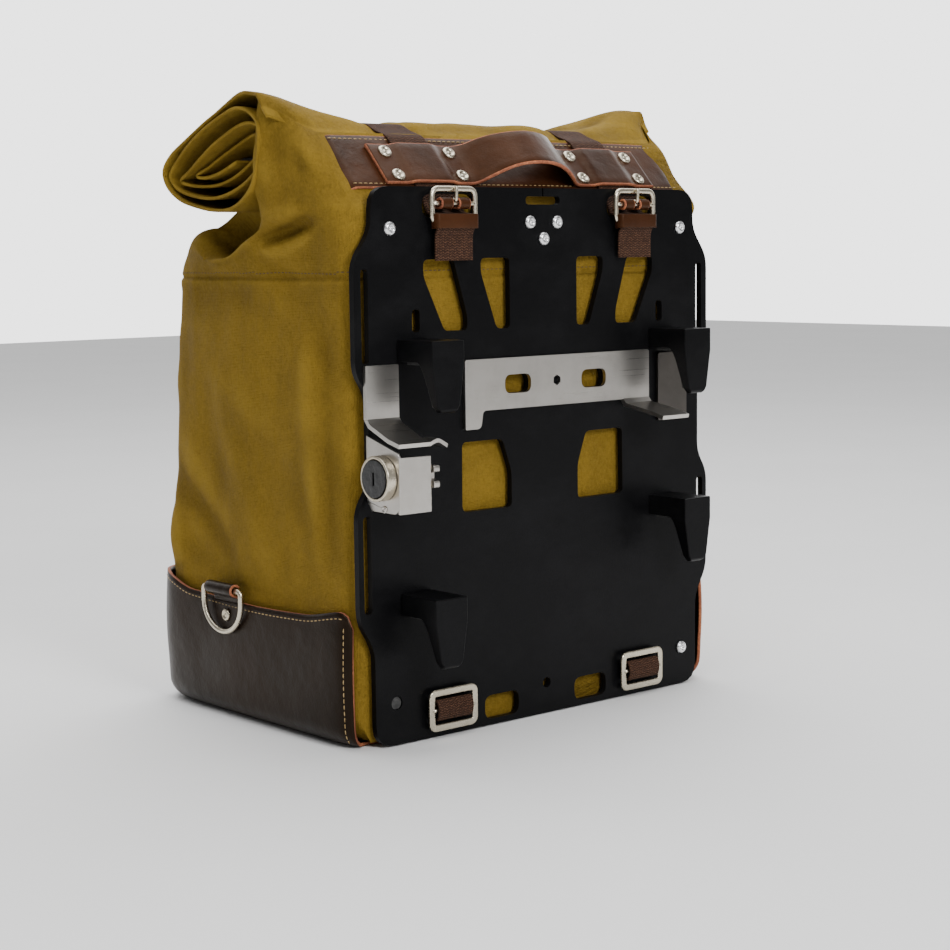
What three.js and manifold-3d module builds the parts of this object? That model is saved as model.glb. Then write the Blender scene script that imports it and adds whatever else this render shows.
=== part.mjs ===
// A roll-top motorcycle pannier: a canvas bag in a leather boot, two webbing straps over the roll,
// and a black carrier plate with four hooks, a stainless latch and a key lock on its back.
// Millimetres. +Z is up, the carrier plate faces -Y and the bag stands behind it, towards +Y.

import * as THREE from "three";
import { mergeVertices } from "three/addons/utils/BufferGeometryUtils.js";
import Module from "manifold-3d";

const wasm = await Module();
wasm.setup();

// ---------- driving dimensions ----------
const GAP = 0.3; // clearance kept between neighbouring solids

const PLATE_THICK = 5;
const PLATE_FOOT = 1; // lowest edge of the plate above the ground
const PLATE_TOP = 399.5;
const TOP_HALF = 162.5;
const WING_HALF = 178.5;
const WAIST_HALF = 168;
const FOOT_HALF = 165.5;

const BAG_BACK = 8; // rear face of the bag
const BAG_HALF = 180;
const BAG_FRONT_LOW = 262;
const BAG_FRONT_HIGH = 240;
const BODY_FLOOR = 3.6;
const BODY_TOP = 336.3;
const WALL = 3;
const REAR_CORNER = 16;
const FRONT_CORNER = 30;

const BOOT_TOP = 100;
const BOOT_LEATHER = 3.2;
const BOOT_REAR_EDGE = 9.8;

const SLOPE_FOOT = new THREE.Vector2(BAG_BACK, 385.5); // where the back panel starts to lean forward
const SLOPE_HEAD = new THREE.Vector2(55, 437.4);
const ROLL_HALF = 196;

const STRAP_X = 91.5;
const STRAP_WIDE = 35;
const STRAP_THICK = 1.8;

const HOOK_DEEP = 40;
const HOOK_TALL = 50.5;
const HOOK_ARM = 15.5;

const SHEET = 3; // stainless sheet of the latch
const BAR_LOW = 237.2;
const BAR_HIGH = 275;

const LOCK_Y = -20;
const LOCK_Z = 198;
const SIDE_X = -171; // outer face of the lock box

const BASE_CENTRE = 138; // distance from the plate's outer face to the middle of the base

// ---------- colours and finishes ----------
const finish = (color, roughness, metalness) =>
  new THREE.MeshStandardMaterial({ color, roughness, metalness });
const canvasCloth = () => finish(0x9a7524, 0.85, 0);
const darkLeather = () => finish(0x2a201b, 0.4, 0);
const brownLeather = () => finish(0x4e3226, 0.45, 0);
const webbing = () => finish(0x3f2a20, 0.8, 0);
const nickel = () => finish(0xc9c3b4, 0.3, 1);
const stainless = () => finish(0xa8a59b, 0.35, 1);
const blackCoat = () => finish(0x17171a, 0.45, 0.2);
const rubber = () => finish(0x222222, 0.8, 0);
const zinc = () => finish(0xd5d5d2, 0.25, 1);
const board = () => finish(0x33332f, 0.7, 0);

// ---------- solids ----------
function solidOf(geometry) {
  const bare = geometry.clone();
  bare.deleteAttribute("normal");
  bare.deleteAttribute("uv");
  const merged = mergeVertices(bare, 1e-4);
  const mesh = new wasm.Mesh({
    numProp: 3,
    vertProperties: new Float32Array(merged.attributes.position.array),
    triVerts: new Uint32Array(merged.index.array),
  });
  return new wasm.Manifold(mesh);
}

function geometryOf(solid) {
  const mesh = solid.getMesh();
  const geometry = new THREE.BufferGeometry();
  geometry.setAttribute("position", new THREE.BufferAttribute(mesh.vertProperties, 3));
  geometry.setIndex(new THREE.BufferAttribute(mesh.triVerts, 1));
  geometry.computeVertexNormals();
  return geometry;
}

function joined(first, ...others) {
  return geometryOf(others.reduce((sum, g) => sum.add(solidOf(g)), solidOf(first)));
}

function cut(first, ...tools) {
  return geometryOf(tools.reduce((rest, g) => rest.subtract(solidOf(g)), solidOf(first)));
}

function common(first, second) {
  return geometryOf(solidOf(first).intersect(solidOf(second)));
}

// A box given by its two corners.
function block(x0, y0, z0, x1, y1, z1) {
  const geometry = new THREE.BoxGeometry(x1 - x0, y1 - y0, z1 - z0);
  geometry.translate((x0 + x1) / 2, (y0 + y1) / 2, (z0 + z1) / 2);
  return geometry;
}

// A shape drawn in X and Z, thick along Y from y0 to y1.
function upright(shape, y0, y1, curveSegments = 5) {
  const geometry = new THREE.ExtrudeGeometry(shape, { depth: y1 - y0, bevelEnabled: false, curveSegments });
  geometry.rotateX(Math.PI / 2);
  geometry.translate(0, y1, 0);
  return geometry;
}

// A shape drawn in Y and Z, long along X from x0 to x1.
function crosswise(shape, x0, x1, curveSegments = 5) {
  const geometry = new THREE.ExtrudeGeometry(shape, { depth: x1 - x0, bevelEnabled: false, curveSegments });
  const axes = new THREE.Matrix4().makeBasis(
    new THREE.Vector3(0, 1, 0),
    new THREE.Vector3(0, 0, 1),
    new THREE.Vector3(1, 0, 0),
  );
  geometry.applyMatrix4(axes);
  geometry.translate(x0, 0, 0);
  return geometry;
}

// A round bar along Y or X.
function rodY(radius, y0, y1, x, z, sides = 16) {
  const geometry = new THREE.CylinderGeometry(radius, radius, y1 - y0, sides);
  geometry.translate(x, (y0 + y1) / 2, z);
  return geometry;
}

function rodX(radius, x0, x1, y, z, sides = 16) {
  const geometry = new THREE.CylinderGeometry(radius, radius, x1 - x0, sides);
  geometry.rotateZ(Math.PI / 2);
  geometry.translate((x0 + x1) / 2, y, z);
  return geometry;
}

// A closed outline through corner points [a, b, radius], each corner rounded by its own radius.
function softPolygon(points, Kind = THREE.Shape) {
  const outline = new Kind();
  points.forEach(([a, b, radius = 0], i) => {
    const here = new THREE.Vector2(a, b);
    const before = new THREE.Vector2(...points.at(i - 1).slice(0, 2));
    const after = new THREE.Vector2(...points[(i + 1) % points.length].slice(0, 2));
    const inward = before.clone().sub(here).setLength(radius).add(here);
    const outward = after.clone().sub(here).setLength(radius).add(here);
    if (i === 0) outline.moveTo(inward.x, inward.y);
    else outline.lineTo(inward.x, inward.y);
    if (radius > 0) outline.quadraticCurveTo(here.x, here.y, outward.x, outward.y);
  });
  outline.closePath();
  return outline;
}

function softRect(a0, b0, a1, b1, radius, Kind = THREE.Shape) {
  const corners = [[a0, b0], [a1, b0], [a1, b1], [a0, b1]];
  return softPolygon(corners.map(([a, b]) => [a, b, radius]), Kind);
}

// The same outline on the other side of the middle plane.
const mirrored = (points) => points.map(([a, b, r]) => [-a, b, r]).reverse();

// A strip of even thickness that follows a line of points in Y and Z.
function stripShape(line, thick) {
  const points = line.map(([a, b]) => new THREE.Vector2(a, b));
  const side = (sign) =>
    points.map((p, i) => {
      const before = points[Math.max(i - 1, 0)];
      const after = points[Math.min(i + 1, points.length - 1)];
      const into = (i ? p.clone().sub(before) : after.clone().sub(p)).normalize();
      const out = (i < points.length - 1 ? after.clone().sub(p) : p.clone().sub(before)).normalize();
      const mitre = into.clone().add(out).normalize();
      const reach = thick / 2 / Math.max(mitre.dot(into), 0.5);
      return new THREE.Vector2(p.x - sign * mitre.y * reach, p.y + sign * mitre.x * reach);
    });
  return new THREE.Shape([...side(-1), ...side(1).reverse()]);
}

// A closed skin through level rings of equally many points.
function loft(rings) {
  const count = rings[0].length;
  const positions = rings.flat(2);
  const index = [];
  for (let level = 0; level + 1 < rings.length; level++) {
    for (let i = 0; i < count; i++) {
      const a = level * count + i;
      const b = level * count + ((i + 1) % count);
      index.push(a, b, b + count, a, b + count, a + count);
    }
  }
  const last = (rings.length - 1) * count;
  for (let i = 1; i + 1 < count; i++) {
    index.push(0, i + 1, i);
    index.push(last, last + i, last + i + 1);
  }
  const geometry = new THREE.BufferGeometry();
  geometry.setAttribute("position", new THREE.Float32BufferAttribute(positions, 3));
  geometry.setIndex(index);
  return geometry;
}

// A level ring of the bag: a rectangle with small rear corners and large front corners.
function bagRing(z, grow, front) {
  const half = BAG_HALF + grow;
  const back = BAG_BACK - grow;
  const far = front + grow;
  const steps = 5;
  const corners = [
    [-half, back, REAR_CORNER + grow, 1, 1, Math.PI],
    [half, back, REAR_CORNER + grow, -1, 1, 1.5 * Math.PI],
    [half, far, FRONT_CORNER + grow, -1, -1, 0],
    [-half, far, FRONT_CORNER + grow, 1, -1, 0.5 * Math.PI],
  ];
  return corners.flatMap(([x, y, r, sx, sy, start]) =>
    Array.from({ length: steps + 1 }, (_, i) => {
      const angle = start + (i / steps) * 0.5 * Math.PI;
      return [x + sx * r + r * Math.cos(angle), y + sy * r + r * Math.sin(angle), z];
    }),
  );
}

const frontAt = (z) =>
  THREE.MathUtils.mapLinear(z, BODY_FLOOR, BODY_TOP, BAG_FRONT_LOW, BAG_FRONT_HIGH);

// The bag's outer skin between two heights, with its lower edge turned in.
function bagSkin(grow, z0, z1, edge) {
  const levels = [
    [z0, grow - edge],
    [z0 + edge * 0.3, grow - edge * 0.3],
    [z0 + edge, grow],
    [z1, grow],
  ];
  return loft(levels.map(([z, g]) => bagRing(z, g, frontAt(z))));
}

const group = new THREE.Group();
const nodes = new THREE.Group();
group.add(nodes);

function add(name, geometry, material) {
  const mesh = new THREE.Mesh(geometry, material);
  mesh.name = name;
  nodes.add(mesh);
  return mesh;
}

// ---------- carrier plate ----------
const plateHalf = [
  [FOOT_HALF, PLATE_FOOT, 16],
  [FOOT_HALF, 72, 9],
  [WING_HALF, 94, 9],
  [WING_HALF, 173, 8],
  [WAIST_HALF, 190, 8],
  [WAIST_HALF, 254, 8],
  [WING_HALF, 270, 8],
  [WING_HALF, 347, 9],
  [TOP_HALF, 369, 9],
  [TOP_HALF, PLATE_TOP, 16],
];

// Windows and slots of the right half, repeated on the left.
const slantWindow = [[88, 348, 4], [116, 348, 4], [116, 336, 4], [97, 296.5, 4], [75.5, 296.5, 4], [75.5, 307, 4]];
const flareWindow = [[34, 348.5, 4], [62, 348.5, 4], [62, 338, 4], [47, 296.5, 4], [34, 296.5, 4]];
const lowWindow = [[43, 215, 4], [82, 215, 4], [82.5, 163.5, 5], [34, 163.5, 4], [34, 190, 5]];
const pairedOpenings = [
  slantWindow,
  flareWindow,
  lowWindow,
  [[120, 296.5, 3.4], [127, 296.5, 3.4], [127, 313, 3.4], [120, 313, 3.4]],
  [[166, 276, 3], [172.3, 276, 3], [172.3, 342, 3], [166, 342, 3]],
  [[167, 99, 3.5], [174, 99, 3.5], [174, 169, 3.5], [167, 169, 3.5]],
  [[29, 5.5, 7], [63, 5.5, 7], [63, 23.5, 7], [29, 23.5, 7]],
  [[66.5, 377.5, 8], [116.5, 377.5, 8], [116.5, 394.5, 8], [66.5, 394.5, 8]],
  [[79, 16.5, 3.9], [117, 16.5, 3.9], [117, 26.5, 3.9], [79, 26.5, 3.9]],
];

const barSlots = [-29.5, 48.5]; // middles of the two long slots in the latch bar
const barSlot = (x) => [[x - 13, 248.5, 6], [x + 13, 248.5, 6], [x + 13, 262.5, 6], [x - 13, 262.5, 6]];

const screwPlaces = [
  ["upper_left", -146.5, 370],
  ["upper_right", 146.5, 370],
  ["middle_left", -13.7, 374.3],
  ["middle_right", 13.7, 374.3],
  ["middle_low", 0, 362],
  ["lower_right", 148, 31],
];
const SCREW_HOLE = 2.9;
const screwHole = ([, x, z]) => rodY(SCREW_HOLE, -5, 30, x, z, 12);
const PLUG_X = -146.5;
const PLUG_Z = 31.5;

function carrierPlate() {
  const outline = softPolygon([...plateHalf, ...mirrored(plateHalf)]);
  for (const opening of pairedOpenings) {
    outline.holes.push(softPolygon(opening, THREE.Path), softPolygon(mirrored(opening), THREE.Path));
  }
  outline.holes.push(softRect(-17.3, 387.3, 17.3, 393.3, 2.9, THREE.Path));
  for (const x of barSlots) {
    outline.holes.push(softPolygon(barSlot(x), THREE.Path));
  }
  const sheet = upright(outline, 0, PLATE_THICK, 4);
  const slit = block(-0.6, -1, 392, 0.6, PLATE_THICK + 1, PLATE_TOP + 1);
  const drain = rodY(4, -1, PLATE_THICK + 1, 0, 24.3, 16);
  const plugHole = rodY(5, -1, PLATE_THICK + 1, PLUG_X, PLUG_Z, 16);
  return cut(sheet, slit, drain, plugHole, ...screwPlaces.map(screwHole));
}
add("carrier_plate", carrierPlate(), blackCoat());
add("plate_plug", rodY(4.7, 1, 4.6, PLUG_X, PLUG_Z, 16), rubber());

for (const [place, x, z] of screwPlaces) {
  const head = new THREE.CylinderGeometry(5, 3.4, 2.8, 16);
  head.translate(x, -GAP - 1.4, z);
  const shank = rodY(2.5, -1, 16, x, z, 10);
  add("screw_" + place, joined(head, shank), zinc());
}

// ---------- carrier hooks ----------
// Each hook is an arm that stands out from the plate and a leg that hangs from its end.
function hook(x, top) {
  const profile = softPolygon([
    [-GAP, top],
    [-HOOK_DEEP, top],
    [-HOOK_DEEP, top - HOOK_TALL + 2],
    [-HOOK_DEEP + 2, top - HOOK_TALL],
    [-HOOK_DEEP + 6, top - HOOK_TALL],
    [-27.5, top - 22, 4],
    [-24, top - HOOK_ARM, 3],
    [-GAP, top - HOOK_ARM],
  ]);
  const face = softPolygon([
    [x - 14.5, top + 1],
    [x - 14.5, top - 17],
    [x - 10, top - HOOK_TALL + 5],
    [x - 6, top - HOOK_TALL - 1],
    [x + 6, top - HOOK_TALL - 1],
    [x + 10, top - HOOK_TALL + 5],
    [x + 14.5, top - 17],
    [x + 14.5, top + 1],
  ].reverse());
  return common(crosswise(profile, x - 15, x + 15, 3), upright(face, -HOOK_DEEP - 5, 5, 3));
}

// A rubber strip under the arm and down the inside of the leg.
function hookLiner(x, top) {
  const line = [
    [-3, top - HOOK_ARM - 1.3],
    [-21.5, top - HOOK_ARM - 1.3],
    [-25.6, top - HOOK_ARM - 6.5],
    [-31.6, top - HOOK_TALL + 4],
  ];
  return crosswise(stripShape(line, 1.8), x - 8, x + 8);
}

const hookPlaces = [
  ["upper_left", -127, 292],
  ["upper_right", 126, 291.5],
  ["lower_left", -127, 110.5],
  ["lower_right", 126, 159],
];
for (const [place, x, top] of hookPlaces) {
  add("hook_" + place, hook(x, top), blackCoat());
  add("hook_liner_" + place, hookLiner(x, top), rubber());
}

// ---------- latch ----------
const barFace = -GAP - SHEET; // outer face of the stainless sheets that lie on the plate

// A tongue of sheet that leaves the plate and slopes outwards and down.
function tongue(x0, x1, tipY, tipZ) {
  const middle = -GAP - SHEET / 2;
  const line = [
    [middle, BAR_LOW + 6],
    [middle, BAR_LOW],
    [middle - 3.5, BAR_LOW - 4.2],
    [tipY + 12, tipZ + 3],
    [tipY, tipZ],
  ];
  return crosswise(stripShape(line, SHEET), x0, x1);
}

function latchBar() {
  const outline = softPolygon([
    [-81, 224, 1],
    [-66, 224, 4],
    [-64, BAR_LOW, 3],
    [109, BAR_LOW],
    [109, BAR_HIGH, 2],
    [-81, BAR_HIGH, 2],
  ]);
  for (const x of barSlots) {
    outline.holes.push(softPolygon(barSlot(x), THREE.Path));
  }
  const sheet = upright(outline, barFace, -GAP);
  const keyHole = rodY(4, barFace - 1, 0, 10, 256, 6);
  return cut(joined(sheet, tongue(80.5, 109, -46, 225)), keyHole);
}
add("latch_bar", latchBar(), stainless());

const keeper = softRect(119.5, 218, 152, 272, 2);
add("latch_keeper", upright(keeper, barFace, -GAP), stainless());

function lockBracket() {
  const sheet = upright(softRect(-172, BAR_LOW, -142.5, BAR_HIGH, 1), barFace, -GAP);
  return joined(sheet, tongue(-171.5, -142.5, -38.5, 221), tongueLip());
}

// The raised lip at the free corner of the left tongue.
function tongueLip() {
  const wave = softPolygon([
    [-144, 219.3],
    [-136.5, 222.3, 3],
    [-128.5, 217.5],
    [-127.5, 220],
    [-136.5, 225.2, 3],
    [-144, 222.2],
  ]);
  return upright(wave, -38.6, -24, 3);
}
add("lock_bracket", lockBracket(), stainless());

// The lock box: a side face with the barrel in it, bent round into a front face.
function lockBox() {
  const side = softPolygon([
    [-1, 226.5],
    [-36, 216.4],
    [-38, 213],
    [-38, 178, 1],
    [-33, 173.5, 1],
    [-6, 173.5, 1],
    [-1, 180, 1],
  ]);
  const sideFace = crosswise(side, SIDE_X, SIDE_X + 2);
  const front = upright(softRect(SIDE_X, 173.5, -142.5, 213, 1), -38, -36);
  const bore = rodX(11.4, SIDE_X - 1, SIDE_X + 4, LOCK_Y, LOCK_Z, 24);
  return cut(joined(sideFace, front), bore);
}
add("lock_box", lockBox(), stainless());

function lockBarrel() {
  const flange = rodX(16, SIDE_X - 8, SIDE_X - GAP, LOCK_Y, LOCK_Z, 28);
  const body = rodX(11, SIDE_X - 2, -143, LOCK_Y, LOCK_Z, 20);
  const recess = rodX(13.6, SIDE_X - 9, SIDE_X - 4, LOCK_Y, LOCK_Z, 24);
  const bore = rodX(4.4, SIDE_X - 9, -142, LOCK_Y, LOCK_Z, 16);
  return cut(joined(flange, body), recess, bore);
}
add("lock_barrel", lockBarrel(), nickel());

function lockCore() {
  const face = rodX(13.2, SIDE_X - 9, SIDE_X - 4 - GAP, LOCK_Y, LOCK_Z, 24);
  const stem = rodX(4, SIDE_X - 6, -136, LOCK_Y, LOCK_Z, 16);
  const keyway = block(SIDE_X - 10, LOCK_Y - 1, LOCK_Z - 4.5, SIDE_X - 6.5, LOCK_Y + 1, LOCK_Z + 4.5);
  return cut(joined(face, stem), keyway);
}
add("lock_core", lockCore(), rubber());

// The forked tongue that the key turns.
function lockCam() {
  const fork = softPolygon([
    [LOCK_Y + 8, LOCK_Z - 8, 4],
    [LOCK_Y + 8, LOCK_Z + 8, 4],
    [LOCK_Y - 20, LOCK_Z + 8, 2],
    [LOCK_Y - 20, LOCK_Z + 3.5, 1],
    [LOCK_Y - 14, LOCK_Z + 2],
    [LOCK_Y - 14, LOCK_Z - 2],
    [LOCK_Y - 20, LOCK_Z - 3.5, 1],
    [LOCK_Y - 20, LOCK_Z - 8, 2],
  ].reverse());
  const tongueSolid = crosswise(fork, -141.5, -136.5);
  return cut(tongueSolid, rodX(4 + GAP, -143, -135, LOCK_Y, LOCK_Z, 16));
}
add("lock_cam", lockCam(), stainless());

// ---------- bag ----------
function canvasBody() {
  const outer = bagSkin(0, BODY_FLOOR, BODY_TOP, 14);
  const inner = bagSkin(-WALL, BODY_FLOOR + WALL, BODY_TOP + 5, 12);
  return cut(outer, inner, ...screwPlaces.filter(([, , z]) => z < BODY_TOP).map(screwHole));
}
add("canvas_body", canvasBody(), canvasCloth());

const BOARD_Y = BAG_BACK + WALL + GAP;
function backBoard() {
  const sheet = upright(softRect(-158, 20, 158, 330, 12), BOARD_Y, BOARD_Y + 3, 3);
  return cut(sheet, ...screwPlaces.map(screwHole));
}
add("back_stiffener", backBoard(), board());

const floorShape = softRect(-160, 26, 160, 238, 20);
const floorBoard = new THREE.ExtrudeGeometry(floorShape, { depth: 3, bevelEnabled: false, curveSegments: 4 });
floorBoard.translate(0, 0, BODY_FLOOR + WALL + GAP);
add("base_stiffener", floorBoard, board());

// The neck of the bag, from the top seam to the roll. Its back leans forward above the plate.
const rollOutline = [
  [61, 446, 6],
  [100, 463, 20],
  [150, 458, 20],
  [196, 441, 14],
  [224, 419, 9],
  [224, 401, 7],
  [205, 389, 12],
  [158, 385.5, 14],
  [119, 394, 10],
];

function neck() {
  const profile = softPolygon([
    [BAG_BACK, BODY_TOP + GAP],
    [BAG_FRONT_HIGH, BODY_TOP + GAP],
    [BAG_FRONT_HIGH - 1, 346, 6],
    [226, 355, 8],
    [157, 384.8, 10],
    [118.2, 393.2, 10],
    [60.2, 445.2, 2],
    [SLOPE_HEAD.x, SLOPE_HEAD.y, 4],
    [SLOPE_FOOT.x, SLOPE_FOOT.y, 8],
  ]);
  const solid = crosswise(profile, -176, 176, 4);
  const inside = softPolygon([
    [BAG_BACK + WALL, BODY_TOP - 5],
    [BAG_FRONT_HIGH - WALL, BODY_TOP - 5],
    [BAG_FRONT_HIGH - WALL, 343, 5],
    [222, 352, 8],
    [155, 381, 10],
    [115, 388, 10],
    [62, 433, 3],
    [SLOPE_HEAD.x + 1, SLOPE_HEAD.y - 4, 3],
    [SLOPE_FOOT.x + WALL, SLOPE_FOOT.y - 1, 8],
  ]);
  const hollow = crosswise(inside, -176 + WALL, 176 - WALL, 4);
  return cut(solid, hollow, ...screwPlaces.filter(([, , z]) => z > BODY_TOP).map(screwHole));
}
add("canvas_neck", neck(), canvasCloth());

// The rolled mouth, with the stiff batten that it is rolled round.
function roll() {
  const profile = softPolygon([...rollOutline].reverse());
  profile.holes.push(softRect(112, 420, 164, 426, 1, THREE.Path));
  return crosswise(profile, -ROLL_HALF, ROLL_HALF, 4);
}
add("roll_top", roll(), canvasCloth());
add("roll_batten", block(-165, 113, 421.4, 165, 163, 424.6), board());

// ---------- leather boot ----------
function boot() {
  const outer = bagSkin(BOOT_LEATHER + GAP, 0, BOOT_TOP, 14);
  const inner = bagSkin(GAP, BODY_FLOOR - GAP, BOOT_TOP + 20, 14);
  const rear = block(-200, -20, -5, 200, BOOT_REAR_EDGE, BOOT_TOP + 5);
  return cut(outer, inner, rear);
}
add("leather_boot", boot(), darkLeather());

// ---------- leather strip and handle on the sloping back ----------
// A local frame on the slope: x across, y out of the surface, z up the slope.
const slopeAngle = Math.atan2(SLOPE_HEAD.x - SLOPE_FOOT.x, SLOPE_HEAD.y - SLOPE_FOOT.y);
function onSlope(geometry) {
  geometry.rotateX(-slopeAngle);
  geometry.translate(0, SLOPE_FOOT.x, SLOPE_FOOT.y);
  return geometry;
}

const STRIP_OUT = 2.8; // outer face of the leather strip above the canvas
const STRIP_LOW = 15;
const STRIP_HIGH = 67;
const HANDLE_LOW = 18;
const HANDLE_HIGH = 56;
const HANDLE_THICK = 3;
const RIVET_ROWS = [25, 48];
const RIVET_COLUMNS = [-121, -61, 61, 121];
const rivetPlaces = RIVET_COLUMNS.flatMap((x) => RIVET_ROWS.map((s) => [x, s]));
const rivetHole = ([x, s]) => rodY(2.1, -20, 0.2, x, s, 10);

const stripSheet = block(-167, -STRIP_OUT, STRIP_LOW, 167, -GAP, STRIP_HIGH);
add("leather_strip", onSlope(cut(stripSheet, ...rivetPlaces.map(rivetHole))), brownLeather());

// The handle lies flat at its rivets, passes over the two straps and rises in an arch between them.
function handle() {
  const flat = STRIP_OUT + GAP + HANDLE_THICK / 2;
  const over = flat + STRAP_THICK + GAP;
  const half = [
    [134, flat],
    [112, flat],
    [109.5, over],
    [73.5, over],
    [71, flat],
    [52, flat],
    [44, flat + 3],
  ];
  const arch = Array.from({ length: 9 }, (_, i) => {
    const x = 36 - i * 9;
    return [x, flat + 4 + 19 * Math.cos((x / 36) * 0.5 * Math.PI) ** 0.8];
  });
  const line = [...half, ...arch, ...half.map(([x, out]) => [-x, out]).reverse()];
  const solid = new THREE.ExtrudeGeometry(stripShape(line, HANDLE_THICK), {
    depth: HANDLE_HIGH - HANDLE_LOW,
    bevelEnabled: false,
  });
  const turned = new THREE.Matrix4().makeBasis(
    new THREE.Vector3(1, 0, 0),
    new THREE.Vector3(0, -1, 0),
    new THREE.Vector3(0, 0, -1),
  );
  solid.applyMatrix4(turned);
  solid.translate(0, 0, HANDLE_HIGH);
  return cut(solid, ...rivetPlaces.map(rivetHole));
}
add("handle_strap", onSlope(handle()), brownLeather());

const handleFace = STRIP_OUT + GAP + HANDLE_THICK;
rivetPlaces.forEach(([x, s], i) => {
  const head = new THREE.CylinderGeometry(4.6, 3, 1.6, 14);
  head.translate(x, -handleFace - GAP - 0.8, s);
  const shank = rodY(1.8, -handleFace - 1, -0.6, x, s, 8);
  add("handle_rivet_" + (i + 1), onSlope(joined(head, shank)), nickel());
});

// ---------- straps, rear buckles and lower rings ----------
// A point in Y and Z over the sloping back: along it from its foot, and out from it.
const slopeLine = SLOPE_HEAD.clone().sub(SLOPE_FOOT).normalize();
const overSlope = (along, out) => [
  SLOPE_FOOT.x + along * slopeLine.x - out * slopeLine.y,
  SLOPE_FOOT.y + along * slopeLine.y + out * slopeLine.x,
];

// The strap's line in Y and Z, from its tail over the buckle, up the back, over the roll and down the front.
const strapLine = [
  [-5, 347],
  [-5, 366],
  [-8.6, 370.5],
  [-8.6, 377.2],
  [-5, 380],
  [4, 380.6],
  overSlope(3, 2.5),
  overSlope(12, 4.2),
  overSlope(70, 4.2),
  [60, 449.4],
  [100, 464.9],
  [151, 459.3],
  [198, 442],
  [225.4, 420.6],
  [225.6, 400],
  [240.4, 348],
  [241.6, 336],
  [258.6, 108],
  [263.2, 101],
  [265.6, 55],
];

// Leather or webbing wrapped round a bar that lies along X, with a tail through the slot in the plate.
function barWrap(x, half, y, z, inner, outer, tailY, notch) {
  const sleeve = rodX(outer, x - half, x + half, y, z, 16);
  const tail = block(x - half, y, z - 1.6, x + half, tailY, z + 1.6);
  const bore = rodX(inner, x - half - 1, x + half + 1, y, z, 14);
  const tools = [bore];
  if (notch > 0) tools.push(block(x - notch, y - 10, z - 10, x + notch, y + 5.6, z + 10));
  return cut(joined(sleeve, tail), ...tools);
}

// A flat rectangular frame with a round bar across its middle.
function barFrame(x, z, half, tall, rim, y0, y1, barY, barZ, barRadius) {
  const outline = softRect(x - half, z - tall, x + half, z + tall, 6);
  outline.holes.push(softRect(x - half + rim, z - tall + rim, x + half - rim, z + tall - rim, 3, THREE.Path));
  const bar = rodX(barRadius, x - half + 1, x + half - 1, barY, barZ, 12);
  return joined(upright(outline, y0, y1, 3), bar);
}

const BUCKLE_Z = 386;
const BUCKLE_Y = -5.2;
const RING_X = 98;
const RING_Z = 21.5;
const RING_Y = -5;

for (const [hand, sign] of [["left", -1], ["right", 1]]) {
  const x = sign * STRAP_X;
  const strap = crosswise(stripShape(strapLine, STRAP_THICK), x - STRAP_WIDE / 2, x + STRAP_WIDE / 2);
  add("strap_" + hand, strap, webbing());
  add("buckle_frame_" + hand, barFrame(x, BUCKLE_Z, 22, 13.8, 4, -6.9, -3.9, BUCKLE_Y, BUCKLE_Z + 1.5, 1.7), nickel());
  add("buckle_wrap_" + hand, barWrap(x, 13, BUCKLE_Y, BUCKLE_Z + 1.5, 2.2, 4.3, 4.8, 2.4), brownLeather());
  const prongRoot = rodX(4, x - 1.6, x + 1.6, BUCKLE_Y, BUCKLE_Z + 1.5, 14);
  const prongTip = block(x - 1.5, -9.2, BUCKLE_Z + 1.5, x + 1.5, -7.3, BUCKLE_Z + 13.2);
  const prongBore = rodX(2, x - 3, x + 3, BUCKLE_Y, BUCKLE_Z + 1.5, 14);
  add("buckle_prong_" + hand, cut(joined(prongRoot, prongTip), prongBore), nickel());

  const ringX = sign * RING_X;
  add("lower_frame_" + hand, barFrame(ringX, RING_Z, 23, 15.5, 5.5, -6.5, -3.5, RING_Y, RING_Z, 1.7), nickel());
  add("lower_wrap_" + hand, barWrap(ringX, 16.5, RING_Y, RING_Z, 2.2, 4.1, 7.2, 0), webbing());
}

// ---------- D-rings on the sides ----------
const D_Y = 157; // middle of the ring, from the plate
const D_Z = 101;
const D_OUT = BAG_HALF + 10; // the ring's bar, from the middle plane

function dRing(x) {
  const arcOf = (half, low, Kind) => {
    const outline = new Kind();
    outline.moveTo(D_Y - half, D_Z);
    outline.lineTo(D_Y - half, D_Z - low / 3);
    outline.absellipse(D_Y, D_Z - low / 3, half, low * 0.667, Math.PI, 2 * Math.PI, false, 0);
    outline.lineTo(D_Y + half, D_Z);
    return outline;
  };
  const outline = arcOf(27, 35, THREE.Shape);
  const loop = crosswise(outline, x - 2, x + 2, 10);
  const window = arcOf(22.8, 30.8, THREE.Shape);
  const hole = crosswise(window, x - 4, x + 4, 10);
  const bar = new THREE.CylinderGeometry(2.2, 2.2, 52, 12);
  bar.translate(x, D_Y, D_Z);
  return joined(cut(loop, hole), bar);
}

function dTab(x, sign) {
  const sleeve = new THREE.CylinderGeometry(5.6, 5.6, 36, 16);
  sleeve.translate(x, D_Y, D_Z);
  const outerX = sign * (BAG_HALF + 5.9);
  const innerX = sign * (BAG_HALF + 3.9);
  const flap = block(Math.min(outerX, innerX), D_Y - 18, 75, Math.max(outerX, innerX), D_Y + 18, D_Z);
  const bore = new THREE.CylinderGeometry(2.9, 2.9, 40, 14);
  bore.translate(x, D_Y, D_Z);
  return cut(joined(sleeve, flap), bore);
}

for (const [hand, sign] of [["left", -1], ["right", 1]]) {
  add("d_ring_" + hand, dRing(sign * D_OUT), nickel());
  add("d_ring_tab_" + hand, dTab(sign * D_OUT, sign), darkLeather());
  const rivetX = [sign * (BAG_HALF + 6.2), sign * (BAG_HALF + 7.4)].sort((a, b) => a - b);
  add("d_ring_rivet_" + hand, rodX(4.2, ...rivetX, D_Y, 85, 14), nickel());
}

nodes.position.y = -BASE_CENTRE;
group.updateMatrixWorld(true);

export default group;
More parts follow.
